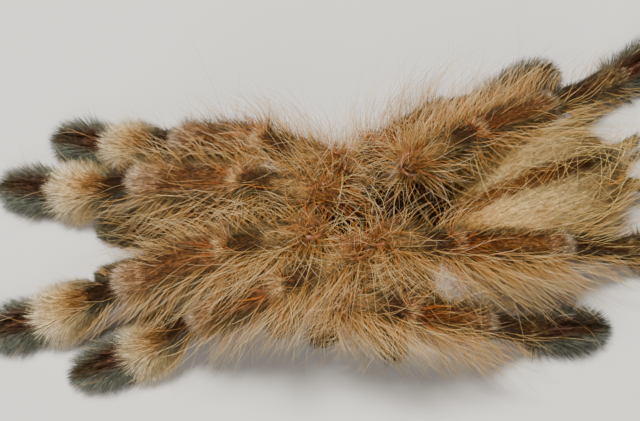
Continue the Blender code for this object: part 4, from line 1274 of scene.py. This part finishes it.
    def mesh_strands(self, strands: tuple[np.ndarray, ...], sort: Field, draw: np.random.Generator) -> None:
        """Build three-sided tapered bristles, each one closed.

        Args:
            strands: Roots sunk in the skin, directions there, how the line departs from them by the
                tip, directions across, and lengths.
            sort: Sort of bristle.
            draw: Source of random numbers.
        """
        start, heading, bend, side, length = strands
        rings = sort.joints + 1
        width = sort.width / 2 * draw.uniform(0.75, 1.2, (len(start), 1))
        corners = np.empty((len(start), 3 * rings + 1, 3))
        for ring in range(rings + 1):
            t = ring / rings
            centre = start + length * (heading * t + bend * t * t)
            centre[:, 2] = np.maximum(centre[:, 2], self.low[2] + sort.width)
            if ring == rings:
                corners[:, -1] = centre
                break
            course = unit(heading + 2.0 * bend * t)
            across = unit(side - course * np.sum(side * course, axis=1, keepdims=True))
            upper = np.cross(course, across)
            radius = width * (1.0 - 0.55 * t)
            for corner in range(3):
                angle = math.radians(90.0 + 120.0 * corner)
                spoke = across * math.cos(angle) + upper * math.sin(angle)
                corners[:, 3 * ring + corner] = centre + radius * spoke
        base = [(0, 2, 1)]
        for ring in range(rings):
            for corner in range(3):
                here, beside = 3 * ring + corner, 3 * ring + (corner + 1) % 3
                if ring == rings - 1:
                    base.append((here, beside, 3 * rings))
                else:
                    base += [(here, beside, beside + 3), (here, beside + 3, here + 3)]
        offsets = self.count + np.arange(len(start)) * corners.shape[1]
        self.faces.append((np.array(base)[None] + offsets[:, None, None]).reshape(-1, 3))
        self.points.append(corners.reshape(-1, 3))
        self.count += corners.shape[0] * corners.shape[1]

    def finish(self) -> None:
        """Join all bristles into one object and make it ride on the body."""
        points = np.concatenate(self.points) * MM
        faces = np.concatenate(self.faces).astype(np.int32)
        marks = np.concatenate(self.marks)
        patches = np.concatenate(self.patches)
        mesh = bpy.data.meshes.new(self.name)
        mesh.vertices.add(len(points))
        mesh.vertices.foreach_set("co", points.astype(np.float32).ravel())
        mesh.loops.add(faces.size)
        mesh.loops.foreach_set("vertex_index", faces.ravel())
        mesh.polygons.add(len(faces))
        mesh.polygons.foreach_set("loop_start", np.arange(0, faces.size, 3, dtype=np.int32))
        mesh.polygons.foreach_set("use_smooth", np.ones(len(faces), bool))
        mesh.polygons.foreach_set("material_index", np.concatenate(self.slots))
        set_marks(mesh, dict(zip(MARKS, marks.T)))
        layer = mesh.uv_layers.new(name="OFBake")
        layer.data.foreach_set("uv", patches[faces.ravel()].astype(np.float32).ravel())
        mesh.update(calc_edges=True)
        for material in self.materials:
            mesh.materials.append(material)
        obj = bpy.data.objects.new(self.name, mesh)
        bpy.context.scene.collection.objects.link(obj)
        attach(obj, "root")
        log.info("%s: %d triangles", self.name, len(faces))


def set_marks(mesh: bpy.types.Mesh, table: dict[str, np.ndarray]) -> None:
    """Keep named values for each corner of a mesh.

    Args:
        mesh: The mesh.
        table: Name to one value for each corner.
    """
    for name, values in table.items():
        attribute = mesh.attributes.new(name, "FLOAT", "POINT")
        attribute.data.foreach_set("value", values.astype(np.float32))


def deselect_all() -> None:
    """Leave nothing selected and no edit mode on."""
    if bpy.context.object and bpy.context.object.mode != "OBJECT":
        bpy.ops.object.mode_set(mode="OBJECT")
    bpy.ops.object.select_all(action="DESELECT")


def start_ring(sides: int, radius: float, height: float = 0.0) -> bpy.types.Object:
    """Add a filled ring round the Z axis and leave it selected in edit mode.

    Args:
        sides: Number of its sides.
        radius: Its radius.
        height: Its height above the origin.

    Returns:
        The new form.
    """
    deselect_all()
    bpy.ops.mesh.primitive_circle_add(vertices=sides, radius=radius, fill_type="NGON",
                                      location=(0.0, 0.0, height))
    bpy.ops.object.transform_apply(location=True, rotation=False, scale=False)
    bpy.ops.object.mode_set(mode="EDIT")
    bpy.ops.mesh.select_all(action="SELECT")
    return bpy.context.object


def extrude_ring(step: tuple | Vector, growth: tuple, centre: tuple | Vector) -> None:
    """Extrude the selected ring by a step, then scale it about a centre."""
    bpy.ops.mesh.extrude_region_move(TRANSFORM_OT_translate={"value": step})
    bpy.ops.transform.resize(value=growth, center_override=centre)


def close_form() -> None:
    """Turn all faces of the form in edit mode outwards, and leave edit mode."""
    bpy.ops.mesh.select_all(action="SELECT")
    bpy.ops.mesh.normals_make_consistent(inside=False)
    bpy.ops.object.mode_set(mode="OBJECT")


def apply_modifier(obj: bpy.types.Object, name: str, kind: str, **settings: object) -> None:
    """Add a modifier and apply it.

    Args:
        obj: Active object that gets it.
        name: Its name.
        kind: Blender's name for its type.
        settings: Its settings.
    """
    modifier = obj.modifiers.new(name, kind)
    for key, value in settings.items():
        setattr(modifier, key, value)
    bpy.ops.object.modifier_apply(modifier=modifier.name)


def join(name: str, objects: list[bpy.types.Object]) -> bpy.types.Object:
    """Join objects into one.

    Args:
        name: Name of the joined object.
        objects: Objects to join.

    Returns:
        The joined object.
    """
    deselect_all()
    for obj in objects:
        obj.select_set(True)
    bpy.context.view_layer.objects.active = objects[0]
    if len(objects) > 1:
        bpy.ops.object.join()
    joined = bpy.context.object
    joined.name = name
    joined.data.name = name
    return joined


def axes_matrix(first: np.ndarray, second: np.ndarray, third: np.ndarray, place: np.ndarray) -> Matrix:
    """Matrix that sets a form in place.

    Args:
        first: Direction that its X axis gets.
        second: Direction that its Y axis gets.
        third: Direction that its Z axis gets.
        place: Where its origin goes.

    Returns:
        The matrix.
    """
    matrix = Matrix((Vector(first), Vector(second), Vector(third))).transposed().to_4x4()
    matrix.translation = Vector(place)
    return matrix


def join_copies(name: str, model: bpy.types.Object, places: list[Matrix]) -> bpy.types.Object:
    """Copy one modelled form to several places and join the copies.

    Args:
        name: Name of the joined piece.
        model: Form round the origin, used up by this.
        places: Where each copy goes, in millimetres.

    Returns:
        The joined piece, in metres.
    """
    copies = []
    for place in places:
        copy = bpy.data.objects.new(name, model.data.copy())
        copy.data.transform(place)
        bpy.context.scene.collection.objects.link(copy)
        copies.append(copy)
    bpy.data.objects.remove(model)
    piece = join(name, copies)
    piece.data.transform(Matrix.Scale(MM, 4))
    piece.data.shade_smooth()
    return piece


@dataclass
class Skin:
    """One closed skin over the whole animal, modelled from the parts and melted together.

    Attributes:
        anatomy: Where the parts are.
        sides: Sides of each ring.
        voxel: Size of the grid on which the parts melt together.
        dome_angles: Where the rings of a dome are, in degrees from its tip.
        groove_depth: Depth of the grooves of the carapace.
        groove_start: Where they begin, and over which length, from the middle of the fovea.
        groove_end: Where they end, and over which length.
        fovea_depth: Depth of the fovea.
        fovea_halves: Its half length and half width.
        end_pull: Distance past a part's end that counts as its radius does, in marking.
    """

    anatomy: Anatomy
    sides: int = 16
    voxel: float = 0.34
    dome_angles: tuple[float, float, float] = (15.0, 45.0, 72.0)
    groove_depth: float = 0.34
    groove_start: tuple[float, float] = (0.8, 1.5)
    groove_end: tuple[float, float] = (8.5, 2.5)
    fovea_depth: float = 0.6
    fovea_halves: tuple[float, float] = (0.5, 1.1)
    end_pull: float = 1.2

    def model_part(self, tube: Tube) -> bpy.types.Object:
        """Extrude a ring along +Z through the part's stations, then set it in place.

        Args:
            tube: Part to model.

        Returns:
            The closed form, in millimetres.
        """
        spots = [station[0] for station in tube.stations]
        if tube.domed:
            near, far = tube.stations[0][2], tube.stations[-1][2]
            angles = [math.radians(angle) for angle in self.dome_angles]
            spots = ([spots[0] - near * math.cos(angle) for angle in angles] + spots
                     + [spots[-1] + far * math.cos(angle) for angle in reversed(angles)])
        wide, tall = tube.halves(np.array(spots))
        obj = start_ring(self.sides, 1.0, spots[0])
        middle = (0.0, 0.0, 0.0)
        bpy.ops.transform.resize(value=(wide[0], tall[0], 1.0), center_override=middle)
        for i in range(1, len(spots)):
            growth = (wide[i] / wide[i - 1], tall[i] / tall[i - 1], 1.0)
            extrude_ring((0.0, 0.0, spots[i] - spots[i - 1]), growth, middle)
        close_form()
        if tube.under != 1.0:
            for vert in obj.data.vertices:
                if vert.co.y < 0.0:
                    vert.co.y *= tube.under
        obj.data.transform(axes_matrix(tube.across, tube.upper, tube.along, tube.start))
        return obj

    def build(self, materials: dict[Kind, bpy.types.Material]) -> bpy.types.Object:
        """Model, join and melt the parts, then give each face its part's markings.

        Args:
            materials: Material for each kind of part.

        Returns:
            The skin.
        """
        skin = join("skin", [self.model_part(tube) for tube in self.anatomy.tubes])
        apply_modifier(skin, "Melt", "REMESH", mode="VOXEL", voxel_size=self.voxel)
        apply_modifier(skin, "Relax", "SMOOTH", iterations=4, factor=0.5)
        self.press_grooves(skin)
        self.mark(skin, materials)
        skin.data.transform(Matrix.Scale(MM, 4))
        skin.data.shade_smooth()
        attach(skin, "root")
        log.info("skin: %d faces", len(skin.data.polygons))
        return skin

    @staticmethod
    def corners(skin: bpy.types.Object) -> np.ndarray:
        """Places of all corners.

        Args:
            skin: The skin.

        Returns:
            One row for each corner.
        """
        points = np.empty(len(skin.data.vertices) * 3, np.float32)
        skin.data.vertices.foreach_get("co", points)
        return points.reshape(-1, 3).astype(float)

    def press_grooves(self, skin: bpy.types.Object) -> None:
        """Sink the fovea and the grooves that run out from it into the top of the carapace.

        Args:
            skin: The skin, in millimetres.
        """
        carapace = next(tube for tube in self.anatomy.tubes if tube.kind is Kind.CARAPACE)
        points = self.corners(skin)
        offset = points - carapace.start
        x, across = offset @ carapace.along, offset @ carapace.across
        wide, tall = carapace.halves(np.clip(x, 0.0, carapace.length))
        height = tall * np.sqrt(np.clip(1.0 - (across / wide) ** 2, 0.0, 1.0))
        on_top = (offset[:, 2] > 0.4) & (np.abs(offset[:, 2] - height) < 0.6)
        ahead = x - carapace.length / 2 - PROSOMA.fovea_station
        far = np.hypot(ahead, across)
        (start, run_in), (end, run_out) = self.groove_start, self.groove_end
        window = np.clip((far - start) / run_in, 0.0, 1.0) * np.clip((end - far) / run_out, 0.0, 1.0)
        depth = self.groove_depth * groove_share(ahead, across) * window
        long, broad = self.fovea_halves
        depth += self.fovea_depth * np.exp(-((ahead / long) ** 2) - (across / broad) ** 2)
        points[:, 2] -= np.where(on_top, depth, 0.0)
        skin.data.vertices.foreach_set("co", points.astype(np.float32).ravel())

    def mark(self, skin: bpy.types.Object, materials: dict[Kind, bpy.types.Material]) -> None:
        """Find the nearest part for each corner and face of the skin, and where on it that is. The skin also
        gets the dark tone of a bristle's root, as painted shade between the bristles.

        Args:
            skin: The skin, in millimetres.
            materials: Material for each kind of part.
        """
        points = self.corners(skin)
        best = np.full(len(points), 1e9)
        owner = np.zeros(len(points), int)
        along, around = np.zeros(len(points)), np.zeros(len(points))
        for number, tube in enumerate(self.anatomy.tubes):
            offset = points - tube.start
            x = offset @ tube.along
            inside = np.clip(x, 0.0, tube.length)
            across, upper = offset @ tube.across, offset @ tube.upper
            wide, tall = (np.maximum(half, THINNEST) for half in tube.halves(inside))
            beyond = (x - inside) / self.end_pull
            away = np.sqrt((across / wide) ** 2 + (upper / tall) ** 2 + beyond**2)
            nearer = away < best
            best[nearer] = away[nearer]
            owner[nearer] = number
            share, turn = tube.marking(inside, across, upper)
            along[nearer] = share[nearer]
            around[nearer] = turn[nearer]
        mesh = skin.data
        # The skin counts as lying near a bristle's root, so it takes the dark root tone: painted shade in the
        # gaps between bristles.
        strand, chance = np.full(len(points), 0.2), np.full(len(points), 0.4)
        set_marks(mesh, dict(zip(MARKS, (along, around, strand, chance))))
        kinds = list(materials)
        for kind in kinds:
            mesh.materials.append(materials[kind])
        numbers = np.array([kinds.index(tube.kind) for tube in self.anatomy.tubes])
        starts = np.empty(len(mesh.polygons), np.int32)
        mesh.polygons.foreach_get("loop_start", starts)
        firsts = np.empty(len(mesh.loops), np.int32)
        mesh.loops.foreach_get("vertex_index", firsts)
        mesh.polygons.foreach_set("material_index", numbers[owner[firsts[starts]]].astype(np.int32))


@dataclass
class Wardrobe:
    """Dresses the skin in its plush and its long setae, in pieces that each stay a sensible size.

    Attributes:
        anatomy: Where the parts are.
        low: Lowest corner that tips may reach.
        high: Highest corner that tips may reach.
        bristles: Material of the plush on each kind of part.
        setae: Material of each colouring of the setae.
        seed: Seed of the first plush piece; each next one adds one.
        seta_seed: Seed of the first piece of setae.
    """

    anatomy: Anatomy
    low: np.ndarray
    high: np.ndarray
    bristles: dict[Kind, bpy.types.Material]
    setae: dict[Hue, bpy.types.Material]
    seed: int = 23
    seta_seed: int = 123

    # Name, slot, kinds of part and what the names of its parts have in them
    PIECES = (
        ("coat_tarsi_right", "coat_grey", (Kind.TARSUS,), "_r"),
        ("coat_tarsi_left", "coat_grey", (Kind.TARSUS,), "_l"),
        ("coat_metatarsi_right_front", "coat_cream", (Kind.METATARSUS,), "_r"),
        ("coat_metatarsi_right_hind", "coat_grey", (Kind.HIND_METATARSUS,), "_r"),
        ("coat_metatarsi_left_front", "coat_cream", (Kind.METATARSUS,), "_l"),
        ("coat_metatarsi_left_hind", "coat_grey", (Kind.HIND_METATARSUS,), "_l"),
        ("coat_tibiae_right", "coat_brown", (Kind.TIBIA, Kind.HIND_TIBIA), "_r"),
        ("coat_tibiae_left", "coat_brown", (Kind.TIBIA, Kind.HIND_TIBIA), "_l"),
        ("coat_patellae", "coat_brown", (Kind.PATELLA,), ""),
        ("coat_femora", "coat_brown", (Kind.FEMUR,), ""),
        ("coat_coxae_and_sternum", "coat_dark", (Kind.COXA, Kind.STERNUM, Kind.PEDICEL), ""),
        ("coat_joints", "coat_red_brown", (Kind.MEMBRANE,), ""),
        ("coat_palps", "coat_tan", (Kind.PALP, Kind.PALP_TARSUS), ""),
        ("coat_carapace", "coat_red_brown", (Kind.CARAPACE, Kind.TUBERCLE), ""),
        ("coat_chelicerae", "coat_brown", (Kind.CHELICERA,), ""),
        ("coat_abdomen", "coat_tan", (Kind.ABDOMEN, Kind.SPINNERET), ""),
    )
    SETA_PIECES = (
        ("setae_right", "_r", Hue.LEG),
        ("setae_left", "_l", Hue.LEG),
        ("setae_body", "", Hue.BODY),
    )
    BODY = (Kind.ABDOMEN, Kind.CARAPACE)

    def dress(self) -> None:
        """Grow every coat piece."""
        for number, (name, slot, kinds, part) in enumerate(self.PIECES):
            coat = Coat(name, slot, self.low, self.high, self.seed + number)
            tubes = [tube for tube in self.anatomy.tubes if tube.kind in kinds and part in tube.name]
            for cell, tube in enumerate(tubes):
                for sort in PLUSH[tube.kind]:
                    coat.grow(tube, sort, self.bristles[tube.kind], (cell, len(tubes)))
            coat.finish()
        for number, (name, part, finish) in enumerate(self.SETA_PIECES):
            coat = Coat(name, "coat_tan", self.low, self.high, self.seta_seed + number)
            tubes = [tube for tube in self.anatomy.tubes if tube.kind in LONG and part in tube.name
                     and (tube.kind in self.BODY) == (finish is Hue.BODY)]
            for cell, tube in enumerate(tubes):
                hue = Hue.JOINT if tube.kind is Kind.MEMBRANE else finish
                for sort in LONG[tube.kind]:
                    coat.grow(tube, sort, self.setae[hue], (cell, len(tubes)))
            coat.finish()


@dataclass(frozen=True)
class HardFinish:
    """Bare polished chitin or cornea: a slow change of tone under a clear gloss, with fine pits.

    Attributes:
        name: Name of the finish.
        deep: Darker tone.
        light: Lighter tone.
        roughness: Roughness.
        gloss: Weight of the clear outer layer.
        gloss_roughness: Roughness of that layer.
        cloud: Distance over which the tone changes.
        pit: Distance between the pits.
        pit_depth: Their depth.
    """

    name: str
    deep: str
    light: str
    roughness: float
    gloss: float
    gloss_roughness: float = 0.08
    cloud: float = 0.8
    pit: float = 0.06
    pit_depth: float = 0.01

    def build(self) -> bpy.types.Material:
        """Make the material.

        Returns:
            The material.
        """
        material, tree, shader = new_material(self.name)
        spot = add_node(tree, "ShaderNodeTexCoord").outputs["Object"]
        tone = add_node(tree, "ShaderNodeTexNoise",
                        {"Vector": spot, "Scale": 1.0 / (self.cloud * MM), "Detail": 2.0})
        colour = fill_ramp(add_node(tree, "ShaderNodeValToRGB", {"Fac": tone.outputs["Fac"]}),
                           ((0.3, self.deep), (0.7, self.light)))
        tree.links.new(colour, shader.inputs["Base Color"])
        pits = add_node(tree, "ShaderNodeTexVoronoi", {"Vector": spot, "Scale": 1.0 / (self.pit * MM)})
        bump = add_node(tree, "ShaderNodeBump",
                        {"Height": pits.outputs["Distance"], "Distance": self.pit_depth * MM,
                         "Strength": 0.25})
        tree.links.new(bump.outputs["Normal"], shader.inputs["Normal"])
        shader.inputs["Roughness"].default_value = self.roughness
        shader.inputs["Coat Weight"].default_value = self.gloss
        shader.inputs["Coat Roughness"].default_value = self.gloss_roughness
        return material


@dataclass
class Head:
    """Eyes on their mound and the pair of fangs.

    Attributes:
        anatomy: Where the parts are.
        eyes: Each side's eyes: ahead, out and up from the middle of the eye mound, and radius.
        rim_band: Heights between which the rim of a lens of radius one stands.
        rim_growth: How far the rim stands out, as a share of the lens.
        flatness: Height of a lens as a share of its width.
        fang_radius: Radius of a fang at its root.
        fang_sides: Sides of each ring of it.
        fang_route: Distance ahead, height and share of the radius at each ring.
    """

    anatomy: Anatomy
    eyes: tuple[tuple[float, float, float, float], ...] = (
        (0.35, 0.5, 0.85, 0.38), (0.9, 0.9, 0.42, 0.3), (-0.35, 1.2, 0.5, 0.3), (-0.62, 0.72, 0.68, 0.24))
    rim_band: tuple[float, float] = (-0.25, 0.05)
    rim_growth: float = 1.16
    flatness: float = 0.86
    fang_radius: float = 0.6
    fang_sides: int = 14
    fang_route: tuple[tuple[float, float, float], ...] = (
        (18.0, 5.0, 1.0), (18.75, 4.1, 1.05), (18.75, 3.1, 0.95), (18.1, 2.2, 0.78), (17.0, 1.6, 0.58),
        (15.7, 1.35, 0.38), (14.4, 1.45, 0.12))

    def build(self) -> None:
        """Make and dress the hard parts of the head."""
        self.make_eyes(HardFinish("amber_black_cornea", "#050404", "#160a05", 0.12, 1.0).build())
        self.make_fangs(HardFinish("polished_black_chitin", "#070505", "#2b0f08", 0.22, 0.7).build())

    def make_eyes(self, material: bpy.types.Material) -> None:
        """Eight domed lenses, each in a raised rim.

        Args:
            material: Finish of the lenses.
        """
        deselect_all()
        bpy.ops.mesh.primitive_uv_sphere_add(segments=24, ring_count=16, radius=1.0)
        lens = bpy.context.object
        bpy.ops.object.mode_set(mode="EDIT")
        bpy.ops.mesh.select_all(action="DESELECT")
        bpy.ops.object.mode_set(mode="OBJECT")
        for vert in lens.data.vertices:
            vert.select = self.rim_band[0] < vert.co.z < self.rim_band[1]
        bpy.ops.object.mode_set(mode="EDIT")
        middle = (0.0, 0.0, 0.0)
        bpy.ops.transform.resize(value=(self.rim_growth, self.rim_growth, 1.0), center_override=middle)
        bpy.ops.mesh.select_all(action="SELECT")
        bpy.ops.transform.resize(value=(1.0, 1.0, self.flatness), center_override=middle)
        bpy.ops.object.mode_set(mode="OBJECT")
        lens.data.materials.append(material)
        height = PROSOMA.floor + PROSOMA.mound_lift
        centre = self.anatomy.body_point(PROSOMA.mound_station, 0.0, height)
        forward = direction(PROSOMA.heading)
        places = []
        for _, side in SIDES:
            for ahead, out, up, radius in self.eyes:
                place = self.anatomy.body_point(PROSOMA.mound_station + ahead, side * out, height + up)
                gaze = unit(place - centre)
                across = unit(np.cross(gaze, forward))
                upper = np.cross(gaze, across)
                places.append(axes_matrix(across, upper, gaze, place) @ Matrix.Scale(radius, 4))
        piece = join_copies("eyes", lens, places)
        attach(piece, "root")
        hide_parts("eye_tubercle")
        log.info("eyes: %d lenses", len(places))

    def model_fang(self) -> bpy.types.Object:
        """Extrude a ring along the fang's route, turned to face the way at each step.

        Returns:
            The closed form, with +X ahead, in millimetres.
        """
        route = [(ahead, height, taper * self.fang_radius) for ahead, height, taper in self.fang_route]
        fang = start_ring(self.fang_sides, route[0][2])
        bpy.ops.transform.rotate(value=math.radians(-90), orient_axis="Y", center_override=(0.0, 0.0, 0.0))
        place = Vector((route[0][0], 0.0, route[0][1]))
        bpy.ops.transform.translate(value=place)
        turned = math.atan2(route[1][1] - route[0][1], route[1][0] - route[0][0])
        bpy.ops.transform.rotate(value=turned, orient_axis="Y", center_override=place)
        for i in range(1, len(route)):
            last, after = route[i - 1], route[min(i + 1, len(route) - 1)]
            step = Vector((route[i][0] - last[0], 0.0, route[i][1] - last[1]))
            bpy.ops.mesh.extrude_region_move(TRANSFORM_OT_translate={"value": step})
            place = place + step
            course = math.atan2(after[1] - last[1], after[0] - last[0])
            delta = (course - turned + math.pi) % (2 * math.pi) - math.pi
            bpy.ops.transform.rotate(value=delta, orient_axis="Y", center_override=place)
            turned = course
            growth = route[i][2] / last[2]
            bpy.ops.transform.resize(value=(growth, growth, growth), center_override=place)
        close_form()
        apply_modifier(fang, "Finer", "SUBSURF", levels=2, render_levels=2)
        return fang

    def make_fangs(self, material: bpy.types.Material) -> None:
        """Pair of curved, tapering fangs.

        Args:
            material: Finish of the fangs.
        """
        forward = direction(PROSOMA.heading)
        rightward = np.array([forward[1], -forward[0], 0.0])
        for side_name, side in SIDES:
            fang = self.model_fang()
            fang.data.materials.append(material)
            base = self.anatomy.body_point(0.0, side * PROSOMA.chelicera_out, 0.0)
            place = axes_matrix(forward, -rightward, UP, base)
            piece = join_copies(f"polished_fang_{side_name}", fang, [place])
            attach(piece, "root")
            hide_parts(f"fang_{side_name}")
            log.info("%s: %d faces", piece.name, len(piece.data.polygons))


@dataclass
class Joints:
    """Bare hard edges that show through the coat: knee rims and the paired claws of the feet.

    Attributes:
        anatomy: Where the parts are.
        rim_scale: Radius of a hoop on a leg of thickness one.
        rim_bar: Thickness of its bar, as a share of its radius.
        rim_depth: How much deeper than thick the bar is.
        rim_cut: Where the hoop is cut off on the patella's side, as a share of its radius.
        rim_ahead: How far past the knee it stands.
        claw_radius: Radius of a claw at its root.
        claw_sides: Sides of each ring of it.
        claw_route: Step, bend in degrees and growth at each ring of it.
        claw_out: How far each of a pair is from the middle.
        claw_splay: How far it turns outwards.
        claw_place: How far inside the tip and above the axis its root is.
    """

    anatomy: Anatomy
    rim_scale: float = 1.44
    rim_bar: float = 0.17
    rim_depth: float = 1.7
    rim_cut: float = 0.35
    rim_ahead: float = 0.55
    claw_radius: float = 0.13
    claw_sides: int = 7
    claw_route: tuple[tuple[float, float, float], ...] = (
        (0.3, 0.0, 0.9), (0.28, 24.0, 0.8), (0.26, 28.0, 0.65), (0.24, 30.0, 0.2))
    claw_out: float = 0.32
    claw_splay: float = 0.5
    claw_place: tuple[float, float] = (0.1, 0.1)

    def build(self) -> None:
        """Make and dress the rims and claws."""
        self.make_rims(HardFinish("pale_chitin_rim", "#5f2c18", "#98623c", 0.45, 0.3).build())
        self.make_claws(HardFinish("dark_claw_chitin", "#0b0706", "#23110a", 0.3, 0.5).build())

    def make_rims(self, material: bpy.types.Material) -> None:
        """Pale hoop round the open far end of each femur, on the side away from the patella.

        Args:
            material: Finish of the hoops.
        """
        deselect_all()
        bpy.ops.mesh.primitive_torus_add(major_radius=1.0, minor_radius=self.rim_bar, major_segments=28,
                                         minor_segments=10)
        hoop = bpy.context.object
        bpy.ops.object.mode_set(mode="EDIT")
        bpy.ops.mesh.select_all(action="SELECT")
        bpy.ops.mesh.bisect(plane_co=(self.rim_cut, 0.0, 0.0), plane_no=(1.0, 0.0, 0.0), use_fill=True,
                            clear_outer=True)
        bpy.ops.mesh.select_all(action="SELECT")
        bpy.ops.transform.resize(value=(1.0, 1.0, self.rim_depth), center_override=(0.0, 0.0, 0.0))
        close_form()
        hoop.data.materials.append(material)
        places = []
        for joint, incoming, outgoing, scale in self.anatomy.knees:
            towards = unit(outgoing - incoming * float(outgoing @ incoming))
            across = np.cross(incoming, towards)
            place = joint + incoming * self.rim_ahead * scale
            places.append(axes_matrix(towards, across, incoming, place)
                          @ Matrix.Scale(self.rim_scale * scale, 4))
        piece = join_copies("knee_rims", hoop, places)
        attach(piece, "root")
        log.info("knee_rims: %d hoops", len(places))

    def make_claws(self, material: bpy.types.Material) -> None:
        """Two small hooked claws at the tip of each walking foot.

        Args:
            material: Finish of the claws.
        """
        claw = start_ring(self.claw_sides, self.claw_radius)
        place = Vector((0.0, 0.0, 0.0))
        for step, bend, growth in self.claw_route:
            turned = math.radians(bend)
            course = Vector((0.0, -step * math.sin(turned), step * math.cos(turned)))
            place = place + course
            extrude_ring(course, (growth, growth, growth), place)
        close_form()
        claw.data.materials.append(material)
        places = []
        inside, above = self.claw_place
        for tube in self.anatomy.tubes:
            if tube.kind is not Kind.TARSUS:
                continue
            for side in (self.claw_out, -self.claw_out):
                course = unit(tube.along + tube.across * side * self.claw_splay)
                across = unit(np.cross(UP, course))
                upper = np.cross(course, across)
                far = (tube.start + tube.along * (tube.reach()[1] - inside) + tube.across * side
                       + tube.upper * above)
                places.append(axes_matrix(across, upper, course, far))
        piece = join_copies("claws", claw, places)
        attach(piece, "root")
        log.info("claws: %d", len(places))


@dataclass
class Studio:
    """Plain pale floor, soft lights and the camera at the photograph's viewing angle.

    Attributes:
        anatomy: Where the parts are.
        surround: Strength of the even light from all round.
        lamps: Name, place in metres, size in metres and power of each light.
        image_width: Width of the photograph in pixels.
        focal: Focal length in those pixels.
        sensor: Width of the camera's sensor.
        distance: Distance from the camera to the point that it looks at.
        elevation: Angle at which it looks down.
        target: That point, in the pose's own zero.
    """

    anatomy: Anatomy
    surround: float = 0.055
    lamps: tuple[tuple[str, tuple[float, float, float], float, float], ...] = (
        ("key", (-0.07, 0.06, 0.54), 0.1, 6.3), ("fill", (-0.05, -0.42, 0.4), 0.3, 1.6))
    image_width: int = 640
    focal: float = 2800.0
    sensor: float = 36.0
    distance: float = 350.0
    elevation: float = 70.0
    target: tuple[float, float, float] = (0.0, 0.0, 8.0)

    def build(self) -> None:
        """Set up the studio."""
        self.lay_floor()
        self.hang_lights()
        self.place_camera()

    def lay_floor(self) -> None:
        """Large matt pale floor."""
        deselect_all()
        bpy.ops.mesh.primitive_plane_add(size=3.0, location=(0.0, 0.0, 0.0))
        floor = bpy.context.object
        floor.name = "floor"
        material, _, shader = new_material("matt_pale_board")
        shader.inputs["Base Color"].default_value = linear("#cdc8c0")
        shader.inputs["Roughness"].default_value = 0.9
        floor.data.materials.append(material)
        floor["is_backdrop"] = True

    def hang_lights(self) -> None:
        """Key light high over the carapace, a larger weak fill from the left side, and an even surround."""
        world = bpy.data.worlds.new("surround")
        world.use_nodes = True
        background = world.node_tree.nodes["Background"]
        background.inputs["Color"].default_value = linear("#e9edf2")
        background.inputs["Strength"].default_value = self.surround
        bpy.context.scene.world = world
        for name, place, size, power in self.lamps:
            data = bpy.data.lights.new(name, "AREA")
            data.size = size
            data.energy = power
            light = bpy.data.objects.new(name, data)
            light.location = place
            light.rotation_euler = (-Vector(place)).to_track_quat("-Z", "Y").to_euler()
            bpy.context.scene.collection.objects.link(light)

    def place_camera(self) -> None:
        """Long lens looking down on the back at the photograph's angle."""
        data = bpy.data.cameras.new("camera")
        data.sensor_width = self.sensor
        data.lens = self.sensor * self.focal / self.image_width
        data.clip_start = 0.01
        data.clip_end = 10.0
        camera = bpy.data.objects.new("camera", data)
        elevation = math.radians(self.elevation)
        forward = Vector((0.0, math.cos(elevation), -math.sin(elevation)))
        target = Vector(self.anatomy.shift + np.array(self.target)) * MM
        camera.location = target - forward * self.distance * MM
        camera.rotation_euler = forward.to_track_quat("-Z", "Y").to_euler()
        bpy.context.scene.collection.objects.link(camera)
        bpy.context.scene.camera = camera


def main() -> None:
    """Build the whole dressed model."""
    logging.basicConfig(level=logging.INFO, format="%(message)s")
    cad_low, cad_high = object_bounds()
    anatomy = Anatomy()
    bare = {kind: finish.build(bare=True) for kind, finish in COAT.items()}
    bristles = {kind: finish.build() for kind, finish in COAT.items()}
    setae = {hue: finish.build() for hue, finish in SETAE.items()}
    skin = Skin(anatomy).build(bare)
    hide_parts(*[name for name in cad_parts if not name.startswith(HARD_NODES)])
    low, high = np.array(cad_low) / MM, np.array(cad_high) / MM
    spare = (high - low) * SPARE
    low, high = low - spare, high + spare
    low[2] = 0.0
    Wardrobe(anatomy, low, high, bristles, setae).dress()
    Head(anatomy).build()
    Joints(anatomy).build()
    Studio(anatomy).build()
    low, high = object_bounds()


if __name__ == "__main__":
    main()
